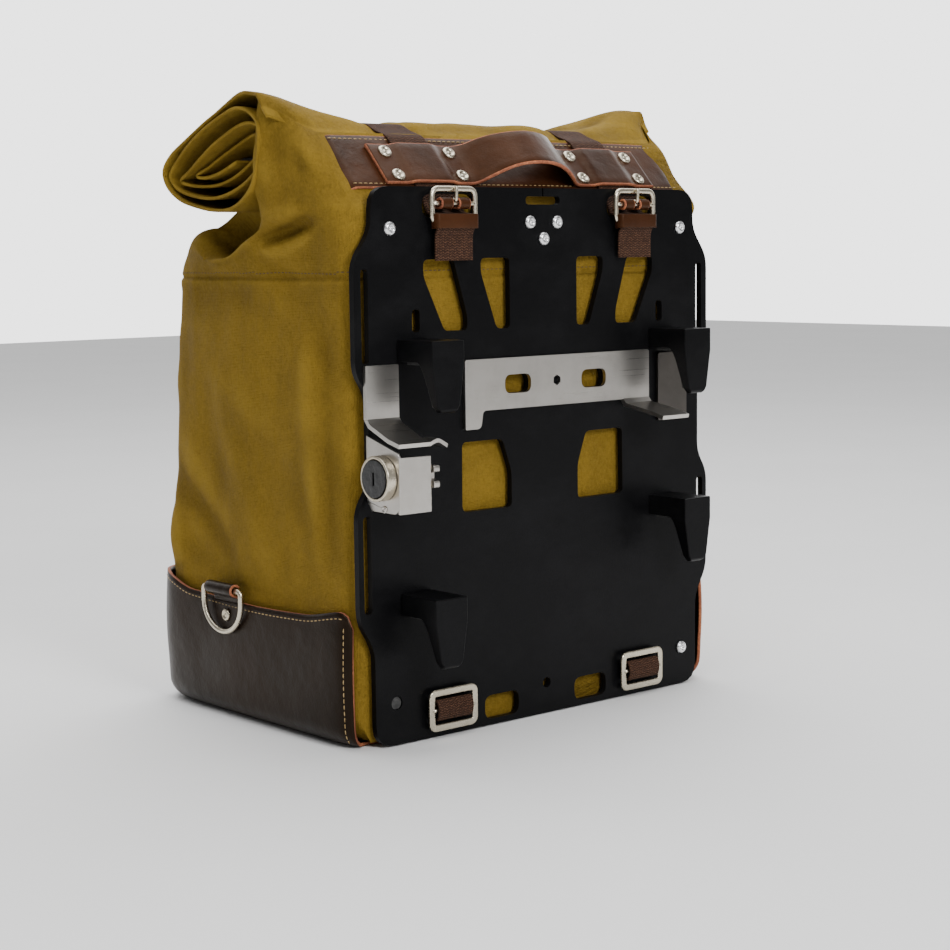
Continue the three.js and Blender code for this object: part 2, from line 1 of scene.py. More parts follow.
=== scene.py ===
"""A roll-top canvas pannier with leather boot, straps and carrier plate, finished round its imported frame.

Lengths are millimetres in the plate's own frame, where Y is counted from the plate's outer face,
until build() turns them into metres in the frame's axes.
"""
import math

import bmesh
import bpy
import numpy as np
from mathutils import Matrix, Vector


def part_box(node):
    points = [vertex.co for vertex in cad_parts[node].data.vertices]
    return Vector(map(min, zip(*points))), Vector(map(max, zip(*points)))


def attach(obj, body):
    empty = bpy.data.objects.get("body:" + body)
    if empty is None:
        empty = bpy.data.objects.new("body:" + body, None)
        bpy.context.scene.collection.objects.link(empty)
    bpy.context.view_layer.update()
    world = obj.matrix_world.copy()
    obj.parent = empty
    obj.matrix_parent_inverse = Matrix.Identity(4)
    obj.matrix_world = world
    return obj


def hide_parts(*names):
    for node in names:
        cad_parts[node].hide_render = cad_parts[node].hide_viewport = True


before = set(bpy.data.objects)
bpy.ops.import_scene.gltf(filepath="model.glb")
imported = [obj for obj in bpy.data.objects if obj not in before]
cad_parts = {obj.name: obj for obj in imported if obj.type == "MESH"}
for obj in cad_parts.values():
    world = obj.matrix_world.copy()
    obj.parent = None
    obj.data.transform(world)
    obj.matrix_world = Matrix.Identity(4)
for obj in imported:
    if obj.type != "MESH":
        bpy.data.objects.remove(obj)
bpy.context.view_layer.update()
FACE_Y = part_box("carrier_plate")[0][1]  # the plate's outer face, in metres
MM = 0.001
TAU = 2 * math.pi
HANDS = (("left", -1), ("right", 1))
CORNERS = ((1, 1, 0), (-1, 1, 1), (-1, -1, 2), (1, -1, 3))  # signs of each corner, and its quarter turn
PLATE_BACK = 7.5  # nothing of the bag comes nearer to the plate than this Y
SIDE = 179.5  # half the bag's width below the seam
SEAM_Z = 336
STRAP_X = 91.5  # the middle of each upper strap
STRAP_WIDE = 35


# ---------------------------------------------------------------- finishes
class Finish:
    """A Principled material and the nodes that feed it."""

    def __init__(self, name, color, roughness, metallic=0.0, **fixed):
        self.material = bpy.data.materials.new(name)
        self.material.use_nodes = True
        self.tree = self.material.node_tree
        self.shader = self.tree.nodes["Principled BSDF"]
        self.shader.inputs["Base Color"].default_value = (*color, 1)
        self.shader.inputs["Roughness"].default_value = roughness
        self.shader.inputs["Metallic"].default_value = metallic
        for socket, value in fixed.items():
            self.shader.inputs[socket.replace("_", " ")].default_value = value
        self.coords = self.tree.nodes.new("ShaderNodeTexCoord")

    def node(self, kind, inputs=None, **settings):
        made = self.tree.nodes.new("ShaderNode" + kind)
        for key, value in settings.items():
            setattr(made, key, value)
        for key, value in (inputs or {}).items():
            if isinstance(value, bpy.types.NodeSocket):
                self.tree.links.new(value, made.inputs[key])
            else:
                made.inputs[key].default_value = value
        return made

    def place(self, source, scale):
        """Object or UV coordinates, stretched by scale."""
        return self.node("Mapping", {"Vector": self.coords.outputs[source], "Scale": scale}).outputs[0]

    def noise(self, source, scale, detail=4.0, roughness=0.6, low=0.35, high=0.65):
        """Soft noise spread over 0 to 1; scale is (per metre) along each axis."""
        made = self.node(
            "TexNoise",
            {"Vector": self.place(source, scale), "Scale": 1.0, "Detail": detail, "Roughness": roughness},
        )
        return self.spread(made.outputs[0], low, high)

    def spread(self, value, low, high, to_low=0.0, to_high=1.0):
        made = self.node(
            "MapRange",
            {"Value": value, "From Min": low, "From Max": high, "To Min": to_low, "To Max": to_high},
        )
        return made.outputs[0]

    def math(self, operation, a, b=0.0):
        return self.node("Math", {0: a, 1: b}, operation=operation).outputs[0]

    def mix(self, factor, first, second):
        made = self.node("Mix", data_type="RGBA")
        for key, value in ((0, factor), (6, first), (7, second)):
            if isinstance(value, bpy.types.NodeSocket):
                self.tree.links.new(value, made.inputs[key])
            else:
                made.inputs[key].default_value = value if key == 0 else (*value, 1)
        return made.outputs[2]

    def color(self, value):
        self.tree.links.new(value, self.shader.inputs["Base Color"])

    def roughness(self, value, low, high):
        self.tree.links.new(self.spread(value, 0, 1, low, high), self.shader.inputs["Roughness"])

    def bump(self, *layers):
        """Relief from (height, depth in metres) layers, one on top of the other."""
        normal = None
        for height, depth in layers:
            inputs = {"Height": height, "Distance": depth, "Strength": 1.0}
            if normal:
                inputs["Normal"] = normal
            normal = self.node("Bump", inputs).outputs[0]
        self.tree.links.new(normal, self.shader.inputs["Normal"])

    def ripple(self, axis, period, phase=None):
        """A sine of the given period (metres) along U or V, from 0 to 1."""
        split = self.node("SeparateXYZ", {0: self.coords.outputs["UV"]})
        along = self.math("MULTIPLY", split.outputs[axis], TAU / period)
        if phase is not None:
            along = self.math("ADD", along, phase)
        return self.math("MULTIPLY_ADD", self.math("SINE", along), 0.5)


def cloth_finish():
    """Waxed cotton: a fine plain weave with slubs and soft blotches; painted shade darkens its hollows, and
    its ridges are lighter, partly faded where handled and partly a painted highlight.
    """
    dark, light, slubbed = (0.15, 0.092, 0.009), (0.24, 0.148, 0.016), (0.12, 0.066, 0.004)
    # hollow is a painted shade tone for creases; ridge is a pale tone for worn ridges that is partly a
    # painted highlight.
    hollow, ridge, dusty = (0.085, 0.048, 0.004), (0.46, 0.3, 0.04), (0.31, 0.195, 0.028)
    yarn_gap = 0.0011
    f = Finish("waxed_canvas", light, 0.8, Specular_IOR_Level=0.1)
    blotch = f.noise("Object", (13, 13, 9), 6, 0.66, 0.36, 0.64)
    slub = f.noise("UV", (160, 1500, 1), 3, 0.6, 0.3, 0.7)
    cross_slub = f.noise("UV", (1500, 160, 1), 3, 0.6, 0.3, 0.7)
    speck = f.math("MULTIPLY", slub, cross_slub)
    tone = f.mix(blotch, dark, light)
    tone = f.mix(f.spread(speck, 0.1, 0.6, 0.0, 0.45), tone, slubbed)
    fold_shade_and_wear = f.node("Attribute", attribute_name="painted_fold_shade_and_wear").outputs["Fac"]
    # Painted shade: the canvas's hollows are darkened towards the hollow tone.
    tone = f.mix(f.spread(fold_shade_and_wear, 0.48, 0.1, 0.0, 0.6), tone, hollow)
    # Ridges are lightened towards the ridge tone, partly as wear and partly as a painted highlight.
    tone = f.mix(f.spread(fold_shade_and_wear, 0.55, 0.95, 0.0, 0.3), tone, ridge)
    dust = f.noise("Object", (620, 620, 420), 3, 0.7, 0.3, 0.7)
    tone = f.mix(f.math("MULTIPLY", dust, 0.4), tone, dusty)
    f.color(tone)
    weave = f.math("MULTIPLY", f.ripple("X", yarn_gap), f.ripple("Y", yarn_gap))
    pucker = f.noise("Object", (70, 70, 45), 4, 0.5, 0.2, 0.8)
    f.bump((pucker, 0.0022), (speck, 0.0004), (weave, 0.0003))
    f.roughness(blotch, 0.72, 0.9)
    return f.material


def leather_finish(name, dark, light, scuff, rough):
    """Smooth hide: small pebbled grain, cloudy dye and dull scuffs."""
    f = Finish(name, light, 0.4, Specular_IOR_Level=0.16, Specular_Tint=(1.0, 0.78, 0.56, 1.0))
    cloud = f.noise("Object", (14, 14, 14), 5, 0.6)
    pores = f.node("TexVoronoi", {"Vector": f.place("Object", (760, 760, 760)), "Scale": 1.0})
    grain = f.spread(pores.outputs["Distance"], 0.0, 0.75)
    scratch = f.noise("Object", (90, 110, 130), 6, 0.7, 0.56, 0.74)
    tone = f.mix(cloud, dark, light)
    f.color(f.mix(f.math("MULTIPLY", scratch, 0.12), tone, scuff))
    f.roughness(f.math("MULTIPLY", f.math("ADD", cloud, scratch), 0.5), *rough)
    swell = f.noise("Object", (40, 40, 40), 3, 0.5, 0.2, 0.8)
    f.bump((swell, 0.0006), (grain, 0.00005))
    return f.material


def webbing_finish():
    """Heavy webbing: ribs across the strap, split by warp lines along it, with painted shade darkening the
    hollows between them.
    """
    # hollow is painted shade in the weave's low parts; crown is the yarn's own brown on the ribs.
    hollow, crown = (0.025, 0.0105, 0.006), (0.17, 0.078, 0.042)
    rib_gap, warp_gap = 0.0019, 0.0022
    f = Finish("brown_webbing", hollow, 0.85, Specular_IOR_Level=0.2)
    fuzz = f.noise("Object", (600, 600, 600), 4, 0.7)
    bend = f.math("MULTIPLY", f.ripple("Y", 2 * warp_gap), 3.0)
    rib = f.ripple("X", rib_gap, phase=bend)
    warp = f.ripple("Y", warp_gap)
    height = f.math("MULTIPLY", rib, f.math("ADD", f.math("MULTIPLY", warp, 0.5), 0.5))
    # Painted shade: the colour darkens to the hollow tone where the ribs and warp lines are low.
    f.color(f.mix(f.math("MULTIPLY", height, fuzz), hollow, crown))
    f.bump((height, 0.0006), (fuzz, 0.0002))
    return f.material


def edge_finish():
    """Raw cut edge of the hide: russet, fibrous, lighter and darker along its length."""
    dark, light = (0.22, 0.06, 0.025), (0.56, 0.19, 0.075)
    f = Finish("cut_edge", light, 0.7)
    fibre = f.noise("Object", (500, 500, 500), 5, 0.7)
    stain = f.noise("Object", (40, 40, 40), 3, 0.6)
    f.color(f.mix(f.math("MULTIPLY", fibre, stain), dark, light))
    f.bump((fibre, 0.0003))
    return f.material


def metal_finish(name, color, dull, rough, stretch, depth):
    """Bare or plated metal: fine lines along one axis, cloudy dulling and small pits."""
    f = Finish(name, color, rough[0], 1.0)
    lines = f.noise("Object", stretch, 3, 0.6, 0.3, 0.7)
    cloud = f.noise("Object", (60, 60, 60), 4, 0.6, 0.4, 0.75)
    f.color(f.mix(f.math("MULTIPLY", cloud, 0.3), color, dull))
    f.roughness(f.math("MULTIPLY_ADD", lines, 0.5), *rough)
    f.bump((lines, depth))
    return f.material


def coat_finish():
    """Satin black powder coat: an orange-peel skin with a few dull rubs."""
    clean, rubbed = (0.003, 0.003, 0.0034), (0.006, 0.006, 0.0066)
    f = Finish("black_coat", clean, 0.42, Specular_IOR_Level=0.09)
    peel = f.noise("Object", (900, 900, 900), 2, 0.5, 0.2, 0.8)
    rub = f.noise("Object", (18, 18, 26), 5, 0.65, 0.45, 0.75)
    f.color(f.mix(rub, clean, rubbed))
    f.roughness(rub, 0.32, 0.46)
    f.bump((peel, 0.00006))
    return f.material


def plain_finish(name, dark, light, rough, scale=200):
    """A mottled plain finish for rubber, thread, board and floor."""
    f = Finish(name, light, rough)
    grain = f.noise("Object", (scale, scale, scale), 4, 0.6)
    f.color(f.mix(grain, dark, light))
    f.bump((grain, 0.0002))
    return f.material


LINED = (12, 900, 1400)  # fine lines along the sheet, per metre
CANVAS = cloth_finish()
BOOT = leather_finish(
    "boot_leather", (0.006, 0.0032, 0.002), (0.013, 0.0068, 0.004), (0.024, 0.013, 0.008), (0.3, 0.42)
)
TRIM = leather_finish(
    "trim_leather", (0.022, 0.007, 0.0026), (0.052, 0.0175, 0.0065), (0.08, 0.034, 0.016), (0.3, 0.44)
)
EDGE = edge_finish()
WEB = webbing_finish()
NICKEL = metal_finish(
    "worn_nickel", (0.64, 0.58, 0.46), (0.26, 0.21, 0.14), (0.16, 0.34), (300, 300, 300), 0.00008
)
STEEL = metal_finish(
    "brushed_stainless", (0.53, 0.505, 0.47), (0.3, 0.28, 0.25), (0.22, 0.32), LINED, 0.00001
)
# The keeper's stainless is painted dark: a painted reflection of the dark hook and painted shade, not a
# duller metal.
DARK_REFLECTION_STEEL = metal_finish(
    "stainless_painted_dark_reflection", (0.11, 0.1, 0.09), (0.05, 0.045, 0.04), (0.25, 0.4), LINED, 0.00001
)
ZINC = metal_finish(
    "bright_zinc", (0.85, 0.85, 0.86), (0.5, 0.5, 0.5), (0.18, 0.3), (400, 400, 400), 0.00003
)
COAT = coat_finish()
CORE = plain_finish("black_core", (0.006, 0.006, 0.006), (0.014, 0.014, 0.015), 0.3)
RUBBER = plain_finish("grey_rubber", (0.02, 0.02, 0.02), (0.05, 0.05, 0.048), 0.75)
BOARD = plain_finish("pressed_board", (0.02, 0.018, 0.015), (0.05, 0.045, 0.04), 0.8)
THREAD = plain_finish("tan_thread", (0.26, 0.16, 0.06), (0.5, 0.36, 0.16), 0.7, 900)
DARK_THREAD = plain_finish("brown_thread", (0.05, 0.028, 0.006), (0.14, 0.085, 0.018), 0.7, 900)


# ---------------------------------------------------------------- shapes
def spline(points, per, closed=False):
    """A Catmull-Rom curve through the rows of points, with per samples in each span."""
    p = np.asarray(points, float)
    if closed:
        p0, p1, p2, p3 = np.roll(p, 1, 0), p, np.roll(p, -1, 0), np.roll(p, -2, 0)
    else:
        full = np.concatenate([[2 * p[0] - p[1]], p, [2 * p[-1] - p[-2]]])
        p0, p1, p2, p3 = full[:-3], full[1:-2], full[2:-1], full[3:]
    t = (np.arange(per) / per).reshape((1, per) + (1,) * (p.ndim - 1))
    p0, p1, p2, p3 = (q[:, None] for q in (p0, p1, p2, p3))
    curve = 0.5 * (
        2 * p1 + (p2 - p0) * t + (2 * p0 - 5 * p1 + 4 * p2 - p3) * t**2 + (3 * p1 - p0 - 3 * p2 + p3) * t**3
    )
    curve = curve.reshape((-1,) + p.shape[1:])
    return curve if closed else np.concatenate([curve, p[-1:]])


def even(points, step):
    """The same line with samples about step apart."""
    p = np.asarray(points, float)
    run = np.concatenate([[0], np.cumsum(np.linalg.norm(np.diff(p, axis=0), axis=1))])
    at = np.linspace(0, run[-1], max(int(round(run[-1] / step)), 2) + 1)
    return np.stack([np.interp(at, run, p[:, i]) for i in range(p.shape[1])], 1)


def rounded(points, step, radius):
    """A line with its corners rounded: sampled evenly, then averaged over about radius."""
    p = even(points, step)
    width = max(int(radius / step), 1)
    padded = np.concatenate([np.repeat(p[:1], width, 0), p, np.repeat(p[-1:], width, 0)])
    kernel = np.ones(2 * width + 1) / (2 * width + 1)
    out = np.stack([np.convolve(padded[:, i], kernel, "valid") for i in range(p.shape[1])], 1)
    out[0], out[-1] = p[0], p[-1]
    return out


def unit(v):
    """The same directions with length 1."""
    return v / np.maximum(np.linalg.norm(v, axis=-1, keepdims=True), 1e-9)


def smooth(a, b, x):
    """0 below a, 1 above b, eased between."""
    t = np.clip((np.asarray(x, float) - a) / (b - a), 0, 1)
    return t * t * (3 - 2 * t)


def link(name, mesh, body):
    """A mesh as an object of the scene that rides on one body."""
    piece = bpy.data.objects.new(name, mesh)
    bpy.context.scene.collection.objects.link(piece)
    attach(piece, body)
    return piece


def build(name, verts, faces, uvs, materials, index=None, caps=(), body="bag", tidy=True):
    """One mesh piece from points in the plate's millimetres, with its faces turned outwards."""
    place = np.asarray(verts, float) * MM + np.array([0, FACE_Y, 0])
    mesh = bpy.data.meshes.new(name)
    mesh.from_pydata(place.tolist(), [], np.asarray(faces).tolist() + [list(map(int, c)) for c in caps])
    layer = mesh.uv_layers.new(name="UVMap")
    spare = sum(len(c) for c in caps)
    layer.data.foreach_set("uv", np.concatenate([np.asarray(uvs, float).ravel() * MM, np.zeros(2 * spare)]))
    for material in materials:
        mesh.materials.append(material)
    if index is not None:
        mesh.polygons.foreach_set("material_index", np.concatenate([index, np.ones(len(caps))]).astype(int))
    mesh.polygons.foreach_set("use_smooth", np.ones(len(mesh.polygons), bool))
    if tidy:
        bm = bmesh.new()
        bm.from_mesh(mesh)
        bmesh.ops.recalc_face_normals(bm, faces=bm.faces)
        bm.to_mesh(mesh)
        bm.free()
    mesh.validate()
    return link(name, mesh, body)


def grid(rows, columns, wrap_rows=False, wrap_columns=False):
    """Quads of a grid of points, and the same quads on a grid that doesn't wrap, for the UVs."""
    i, j = np.meshgrid(
        np.arange(rows if wrap_rows else rows - 1),
        np.arange(columns if wrap_columns else columns - 1),
        indexing="ij",
    )
    corners = [(0, 0), (1, 0), (1, 1), (0, 1)]
    faces = np.stack([((i + a) % rows) * columns + (j + b) % columns for a, b in corners], -1)
    plain = np.stack([(i + a) * (columns + 1) + (j + b) for a, b in corners], -1)
    return faces.reshape(-1, 4), plain.reshape(-1, 4)


def run_lengths(points):
    """UVs in millimetres: the distance walked along rows and along columns, closed round by one more."""
    p = np.concatenate([points, points[:1]])
    p = np.concatenate([p, p[:, :1]], 1)
    down, along = (np.linalg.norm(np.diff(p, axis=i), axis=2) for i in (0, 1))
    u = np.concatenate([np.zeros((1, p.shape[1])), np.cumsum(down, 0)])
    v = np.concatenate([np.zeros((p.shape[0], 1)), np.cumsum(along, 1)], 1)
    return np.stack([u, v], -1).reshape(-1, 2)


def surface(name, points, materials, wrap_rows=False, inside=None):
    """A skin over a grid of points, one row after another, facing away from the point inside."""
    rows, columns = points.shape[:2]
    faces, plain = grid(rows, columns, wrap_rows)
    uvs = run_lengths(points)[plain]
    if inside is not None:
        a, b, c = (points.reshape(-1, 3)[faces[:, i]] for i in range(3))
        if np.sum(np.cross(b - a, c - b) * (a - inside)) < 0:
            faces, uvs = faces[:, ::-1], uvs[:, ::-1]
    return build(name, points.reshape(-1, 3), faces, uvs, materials, tidy=False)


def sweep(path, out, section, closed=False):
    """Points of a section (across, out) carried along a path.

    At each path point, across = tangent x out, and the point is path + a * across + b * out.
    """
    path = np.asarray(path, float)
    if closed:
        tangent = unit(np.roll(path, -1, 0) - np.roll(path, 1, 0))
    else:
        tangent = unit(np.gradient(path, axis=0))
    out = np.broadcast_to(np.asarray(out, float), path.shape)
    out = unit(out - np.sum(out * tangent, 1, keepdims=True) * tangent)
    across = np.cross(tangent, out)
    section = np.broadcast_to(section, (len(path),) + np.shape(section)[-2:])
    return path[:, None] + section[..., :1] * across[:, None] + section[..., 1:] * out[:, None]


def flat_section(width, thick, radius=None):
    """A flat bar's section with rounded edges; also which of its faces are the cut edges."""
    splits = 6
    r = min(thick / 2 * 0.9, radius if radius is not None else thick)
    corners = []
    for sa, sb, start in CORNERS:
        angles = (start + np.arange(4) / 3) * math.pi / 2
        centre = np.array([sa * (width / 2 - r), sb * (thick / 2 - r)])
        corners.append(centre + r * np.stack([np.cos(angles), np.sin(angles)], 1))
    points, edges = [], []
    for k, corner in enumerate(corners):
        points += list(corner)
        edges += [1] * 3
        if k % 2 == 0:
            gap = np.linspace(corner[-1], corners[k + 1][0], splits + 1)[1:-1]
            points += list(gap)
            edges += [0] * splits
        else:
            edges += [1]
    return np.array(points), np.array(edges)


def skin_along(name, points, edges, materials, closed, body):
    """A skin over sections carried along a path, capped at open ends; edges picks each face's material."""
    rows, columns = points.shape[:2]
    faces, plain = grid(rows, columns, closed, True)
    caps = () if closed else (np.arange(columns)[::-1], np.arange(columns) + (rows - 1) * columns)
    index = np.tile(edges, rows if closed else rows - 1)
    both = materials if len(materials) > 1 else materials * 2
    return build(name, points.reshape(-1, 3), faces, run_lengths(points)[plain], both, index, caps, body)


def strip(name, path, out, width, thick, materials, closed=False, radius=None, taper=None, body="bag"):
    """A flat strap: a rounded flat section swept along a path, with its cut edges in the second material."""
    section, edges = flat_section(width, thick, radius)
    if taper is not None:
        section = section[None] * np.stack([taper, np.ones_like(taper)], 1)[:, None]
    return skin_along(name, sweep(path, out, section, closed), edges, materials, closed, body)


def tube(name, path, out, radius, material, closed=False, flatten=1.0, body="bag"):
    """A round bar, or an oval one, swept along a path."""
    sides = 14
    angles = np.arange(sides) / sides * TAU
    section = np.stack([radius * np.cos(angles), radius * flatten * np.sin(angles)], 1)
    points = sweep(path, out, section, closed)
    return skin_along(name, points, np.zeros(sides, int), [material], closed, body)


def copies(name, shape, faces, places, material):
    """The same small shape at many places; each place is (centre, three axes)."""
    centres = np.array([p[0] for p in places], float)
    axes = np.array([p[1] for p in places], float)
    points = centres[:, None] + np.einsum("vk,nkc->nvc", shape, axes)
    all_faces = faces[None] + (np.arange(len(places)) * len(shape))[:, None, None]
    all_faces = all_faces.reshape(-1, 4)
    uvs = np.zeros((len(all_faces) * 4, 2))
    return build(name, points.reshape(-1, 3), all_faces, uvs, [material], tidy=False)


def turned_shape(profile, sides=20):
    """A solid of revolution about its third axis, from (radius, height) pairs that start and end near 0."""
    profile = np.asarray(profile, float)
    angles = np.arange(sides) / sides * TAU
    ring = np.stack([np.cos(angles), np.sin(angles)], 1)
    points = np.concatenate(
        [profile[:, None, :1] * ring[None], np.repeat(profile[:, None, 1:], sides, 1)], 2
    )
    faces, _ = grid(len(profile), sides, False, True)
    return points.reshape(-1, 3), faces[:, ::-1]


def axes_of(direction, hint=(0, 0, 1)):
    """Three axes whose third one is direction."""
    w = unit(np.asarray(direction, float))
    u = unit(np.cross(hint, w)) if abs(w @ np.asarray(hint, float)) < 0.95 else np.array([1.0, 0, 0])
    return np.stack([u, np.cross(w, u), w])


def stitches(name, line, out, length=3.3, pitch=4.6, thick=0.85, lift=0.25, thread=THREAD):
    """A row of thread stitches along a line: each is a short bead with its ends pressed in."""
    line = np.asarray(line, float)
    out = np.broadcast_to(np.asarray(out, float), line.shape)
    run = np.concatenate([[0], np.cumsum(np.linalg.norm(np.diff(line, axis=0), axis=1))])
    at = np.arange(pitch / 2, run[-1], pitch)

    def sampled(places, rows):
        return np.stack([np.interp(places, run, rows[:, i]) for i in range(3)], 1)

    centre = sampled(at, line)
    along = unit(sampled(at + 1, line) - sampled(at - 1, line))
    normal = unit(sampled(at, out))
    normal = unit(normal - np.sum(normal * along, 1, keepdims=True) * along)
    side = np.cross(along, normal)
    t = np.array([-1, -0.75, 0, 0.75, 1])
    size = np.array([0.25, 0.8, 1, 0.8, 0.25]) * thick / 2
    angles = np.arange(6) / 6 * TAU
    ring = np.stack([np.cos(angles), np.sin(angles)], 1)
    bead = [np.repeat(t[:, None, None] * length / 2, 6, 1), size[:, None, None] * ring[None] * [1, 0.8]]
    shape = np.concatenate(bead, 2).reshape(-1, 3)
    shape[:, 2] -= np.repeat(np.abs(t) ** 2 * thick * 0.35, 6)
    faces, _ = grid(5, 6, False, True)
    places = list(zip(centre + normal * lift, np.stack([along, side, normal], 1)))
    piece = copies(name, shape, faces, places, thread)
    return piece


def finished(node, material, body="bag", width=0.5, segments=2, angle=32):
    """One of the frame's nodes with its edges broken by a small bevel."""
    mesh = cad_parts[node].data.copy()
    mesh.name = node + "_finished"
    bm = bmesh.new()
    bm.from_mesh(mesh)
    bmesh.ops.remove_doubles(bm, verts=bm.verts, dist=3e-6)
    bmesh.ops.dissolve_limit(bm, angle_limit=math.radians(0.8), verts=bm.verts, edges=bm.edges)
    bmesh.ops.recalc_face_normals(bm, faces=bm.faces)
    bm.to_mesh(mesh)
    bm.free()
    mesh.materials.clear()
    mesh.materials.append(material)
    mesh.polygons.foreach_set("material_index", np.zeros(len(mesh.polygons), int))
    mesh.polygons.foreach_set("use_smooth", np.ones(len(mesh.polygons), bool))
    piece = link(mesh.name, mesh, body)
    bevel = piece.modifiers.new("edges", "BEVEL")
    bevel.width = width * MM
    bevel.segments = segments
    bevel.limit_method = "ANGLE"
    bevel.angle_limit = math.radians(angle)
    shading = piece.modifiers.new("flat faces", "WEIGHTED_NORMAL")
    shading.weight = 100
    shading.keep_sharp = True
    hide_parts(node)
    return piece


def thicken(piece, thick, offset):
    """A wall on a skin: offset 1 puts it outside, -1 inside and 0 half each way."""
    wall = piece.modifiers.new("wall", "SOLIDIFY")
    wall.thickness = thick * MM
    wall.offset = offset


# ---------------------------------------------------------------- the canvas bag
def back_edge(y, z):
    """The flat middle of a ring's back."""
    return [(x, y, z) for x in (0, -60, -130)]


def low_ring(z, front, bulge=0.0, inset=0.0):
    """Half of a level ring below the seam, from the middle of the back to the middle of the front."""
    s = SIDE - inset
    return back_edge(8, z) + [
        (-163, 8.5, z), (4.5 - s, 13, z), (-s, 26, z),
        (-s - bulge * 0.7, 60, z), (-s - bulge, 97, z), (-s - bulge, 115, z), (-s - bulge, 135, z),
        (-s - bulge, 160, z), (-s - bulge * 0.8, 195, z), (-s + 0.5, front - 33, z),
        (8.5 - s, front - 8.5, z), (31.5 - s, front, z), (-90, front + bulge * 0.7, z), (0, front + bulge, z),
    ]


# Rings above the seam. The side folds inwards in front of its upright edge, under the roll.
HIGH_RINGS = [
    back_edge(8, 350) + [(-163, 8.5, 350), (-175, 14, 350), (-180, 27, 351),
     (-182, 60, 353), (-183, 97, 353), (-183, 115, 350), (-183, 135, 345), (-183, 160, 343), (-182, 190, 346),
     (-178, 210, 347), (-169, 229, 346), (-148, 235, 345), (-90, 237, 345), (0, 238, 345)],
    back_edge(8, 366) + [(-163, 8.5, 366), (-175, 14.5, 367), (-181, 28, 369),
     (-185, 60, 374), (-187, 93, 370), (-186.5, 119, 361), (-186, 146, 351), (-185, 174, 350),
     (-182, 196, 359), (-177, 212, 357), (-166, 224, 354), (-147, 228, 351), (-90, 230, 350), (0, 231, 350)],
    back_edge(8, 376) + [(-163, 8.5, 376), (-174.5, 15, 377), (-181.5, 29, 379),
     (-187, 60, 382), (-188, 93, 375), (-181, 114, 362), (-172, 143, 350), (-172, 168, 352), (-177, 192, 367),
     (-173, 206, 365), (-163, 218, 359), (-146, 223, 354), (-90, 226, 352), (0, 227, 352)],
    back_edge(9.5, 386) + [(-163, 10, 386), (-174, 16, 387), (-181.5, 31, 389),
     (-184, 62, 390), (-187, 93, 380), (-165, 113, 360), (-148, 140, 342), (-150, 163, 348), (-167, 184, 371),
     (-166, 196, 370), (-158, 208, 363), (-142, 213, 358), (-88, 214, 357), (0, 214, 358)],
    back_edge(21, 400) + [(-163, 21, 400), (-173, 25, 401), (-181, 39, 402),
     (-185, 70, 400), (-188, 98, 390), (-160, 111, 372), (-140, 127, 356), (-140, 147, 354), (-153, 168, 370),
     (-160, 180, 378), (-152, 190, 375), (-136, 193, 372), (-86, 192, 372), (0, 190, 372)],
    back_edge(34.5, 415) + [(-163, 34.5, 415), (-172, 38, 416), (-181, 49, 418),
     (-187, 74, 416), (-189.5, 101, 404), (-168, 110, 398), (-158, 122, 388), (-157, 138, 382),
     (-158, 152, 384), (-158, 165, 387), (-150, 168, 387), (-132, 167, 387), (-85, 165, 387), (0, 160, 387)],
    back_edge(46.5, 430) + [(-162, 47, 430), (-171, 50, 432), (-180, 61, 438),
     (-187, 80, 440), (-190, 98, 434), (-168, 106, 425), (-160, 116, 415), (-158, 126, 408), (-156, 138, 402),
     (-152, 148, 398), (-146, 151, 397), (-128, 151, 397), (-84, 151, 397), (0, 149, 397)],
    back_edge(53.5, 439) + [(-160, 53.5, 438.5), (-170, 57, 440), (-179, 66, 447.5),
     (-186, 80, 457), (-189, 95, 463), (-166, 104, 448), (-158, 112, 434), (-155, 122, 424), (-152, 134, 412),
     (-148, 144, 405), (-142, 147, 403), (-126, 147, 403), (-83, 147, 403), (0, 146, 403)],
]


def crease(points, normals, start, end, width, depth):
    """A soft groove (or ridge, if depth is negative) between two points, fading at both ends."""
    a, b = np.array(start, float), np.array(end, float)
    along = b - a
    t = np.clip(((points - a) @ along) / (along @ along), 0, 1)
    away = points - (a + t[..., None] * along)
    distance = np.linalg.norm(away, axis=-1)
    fade = np.sin(np.clip(t * 0.94 + 0.03, 0, 1) * math.pi) ** 0.7
    shape = np.exp(-((distance / width) ** 2)) * fade
    return points - normals * (depth * shape)[..., None]


def grid_normals(points, wrap_rows):
    """The normal at each point, from the slopes along rows and columns, on the side away from the middle."""
    du = np.roll(points, -1, 0) - np.roll(points, 1, 0) if wrap_rows else np.gradient(points, axis=0)
    normals = unit(np.cross(du, np.gradient(points, axis=1)))
    part = points[: len(points) if wrap_rows else len(points) // 3]
    away = np.sum((part - points.mean((0, 1))) * normals[: len(part)])
    return normals if away > 0 else -normals


def ripples(points, seed, size, amount, count=10):
    """Gentle unevenness: a sum of sine waves in random directions, about size apart."""
    rng = np.random.default_rng(seed)
    directions = unit(rng.normal(size=(count, 3))) * TAU / (size * rng.uniform(0.7, 1.5, (count, 1)))
    phases = rng.uniform(0, TAU, count)
    waves = np.sin(np.einsum("...k,nk->...n", points, directions) + phases)
    return waves.mean(-1) * amount * 1.8


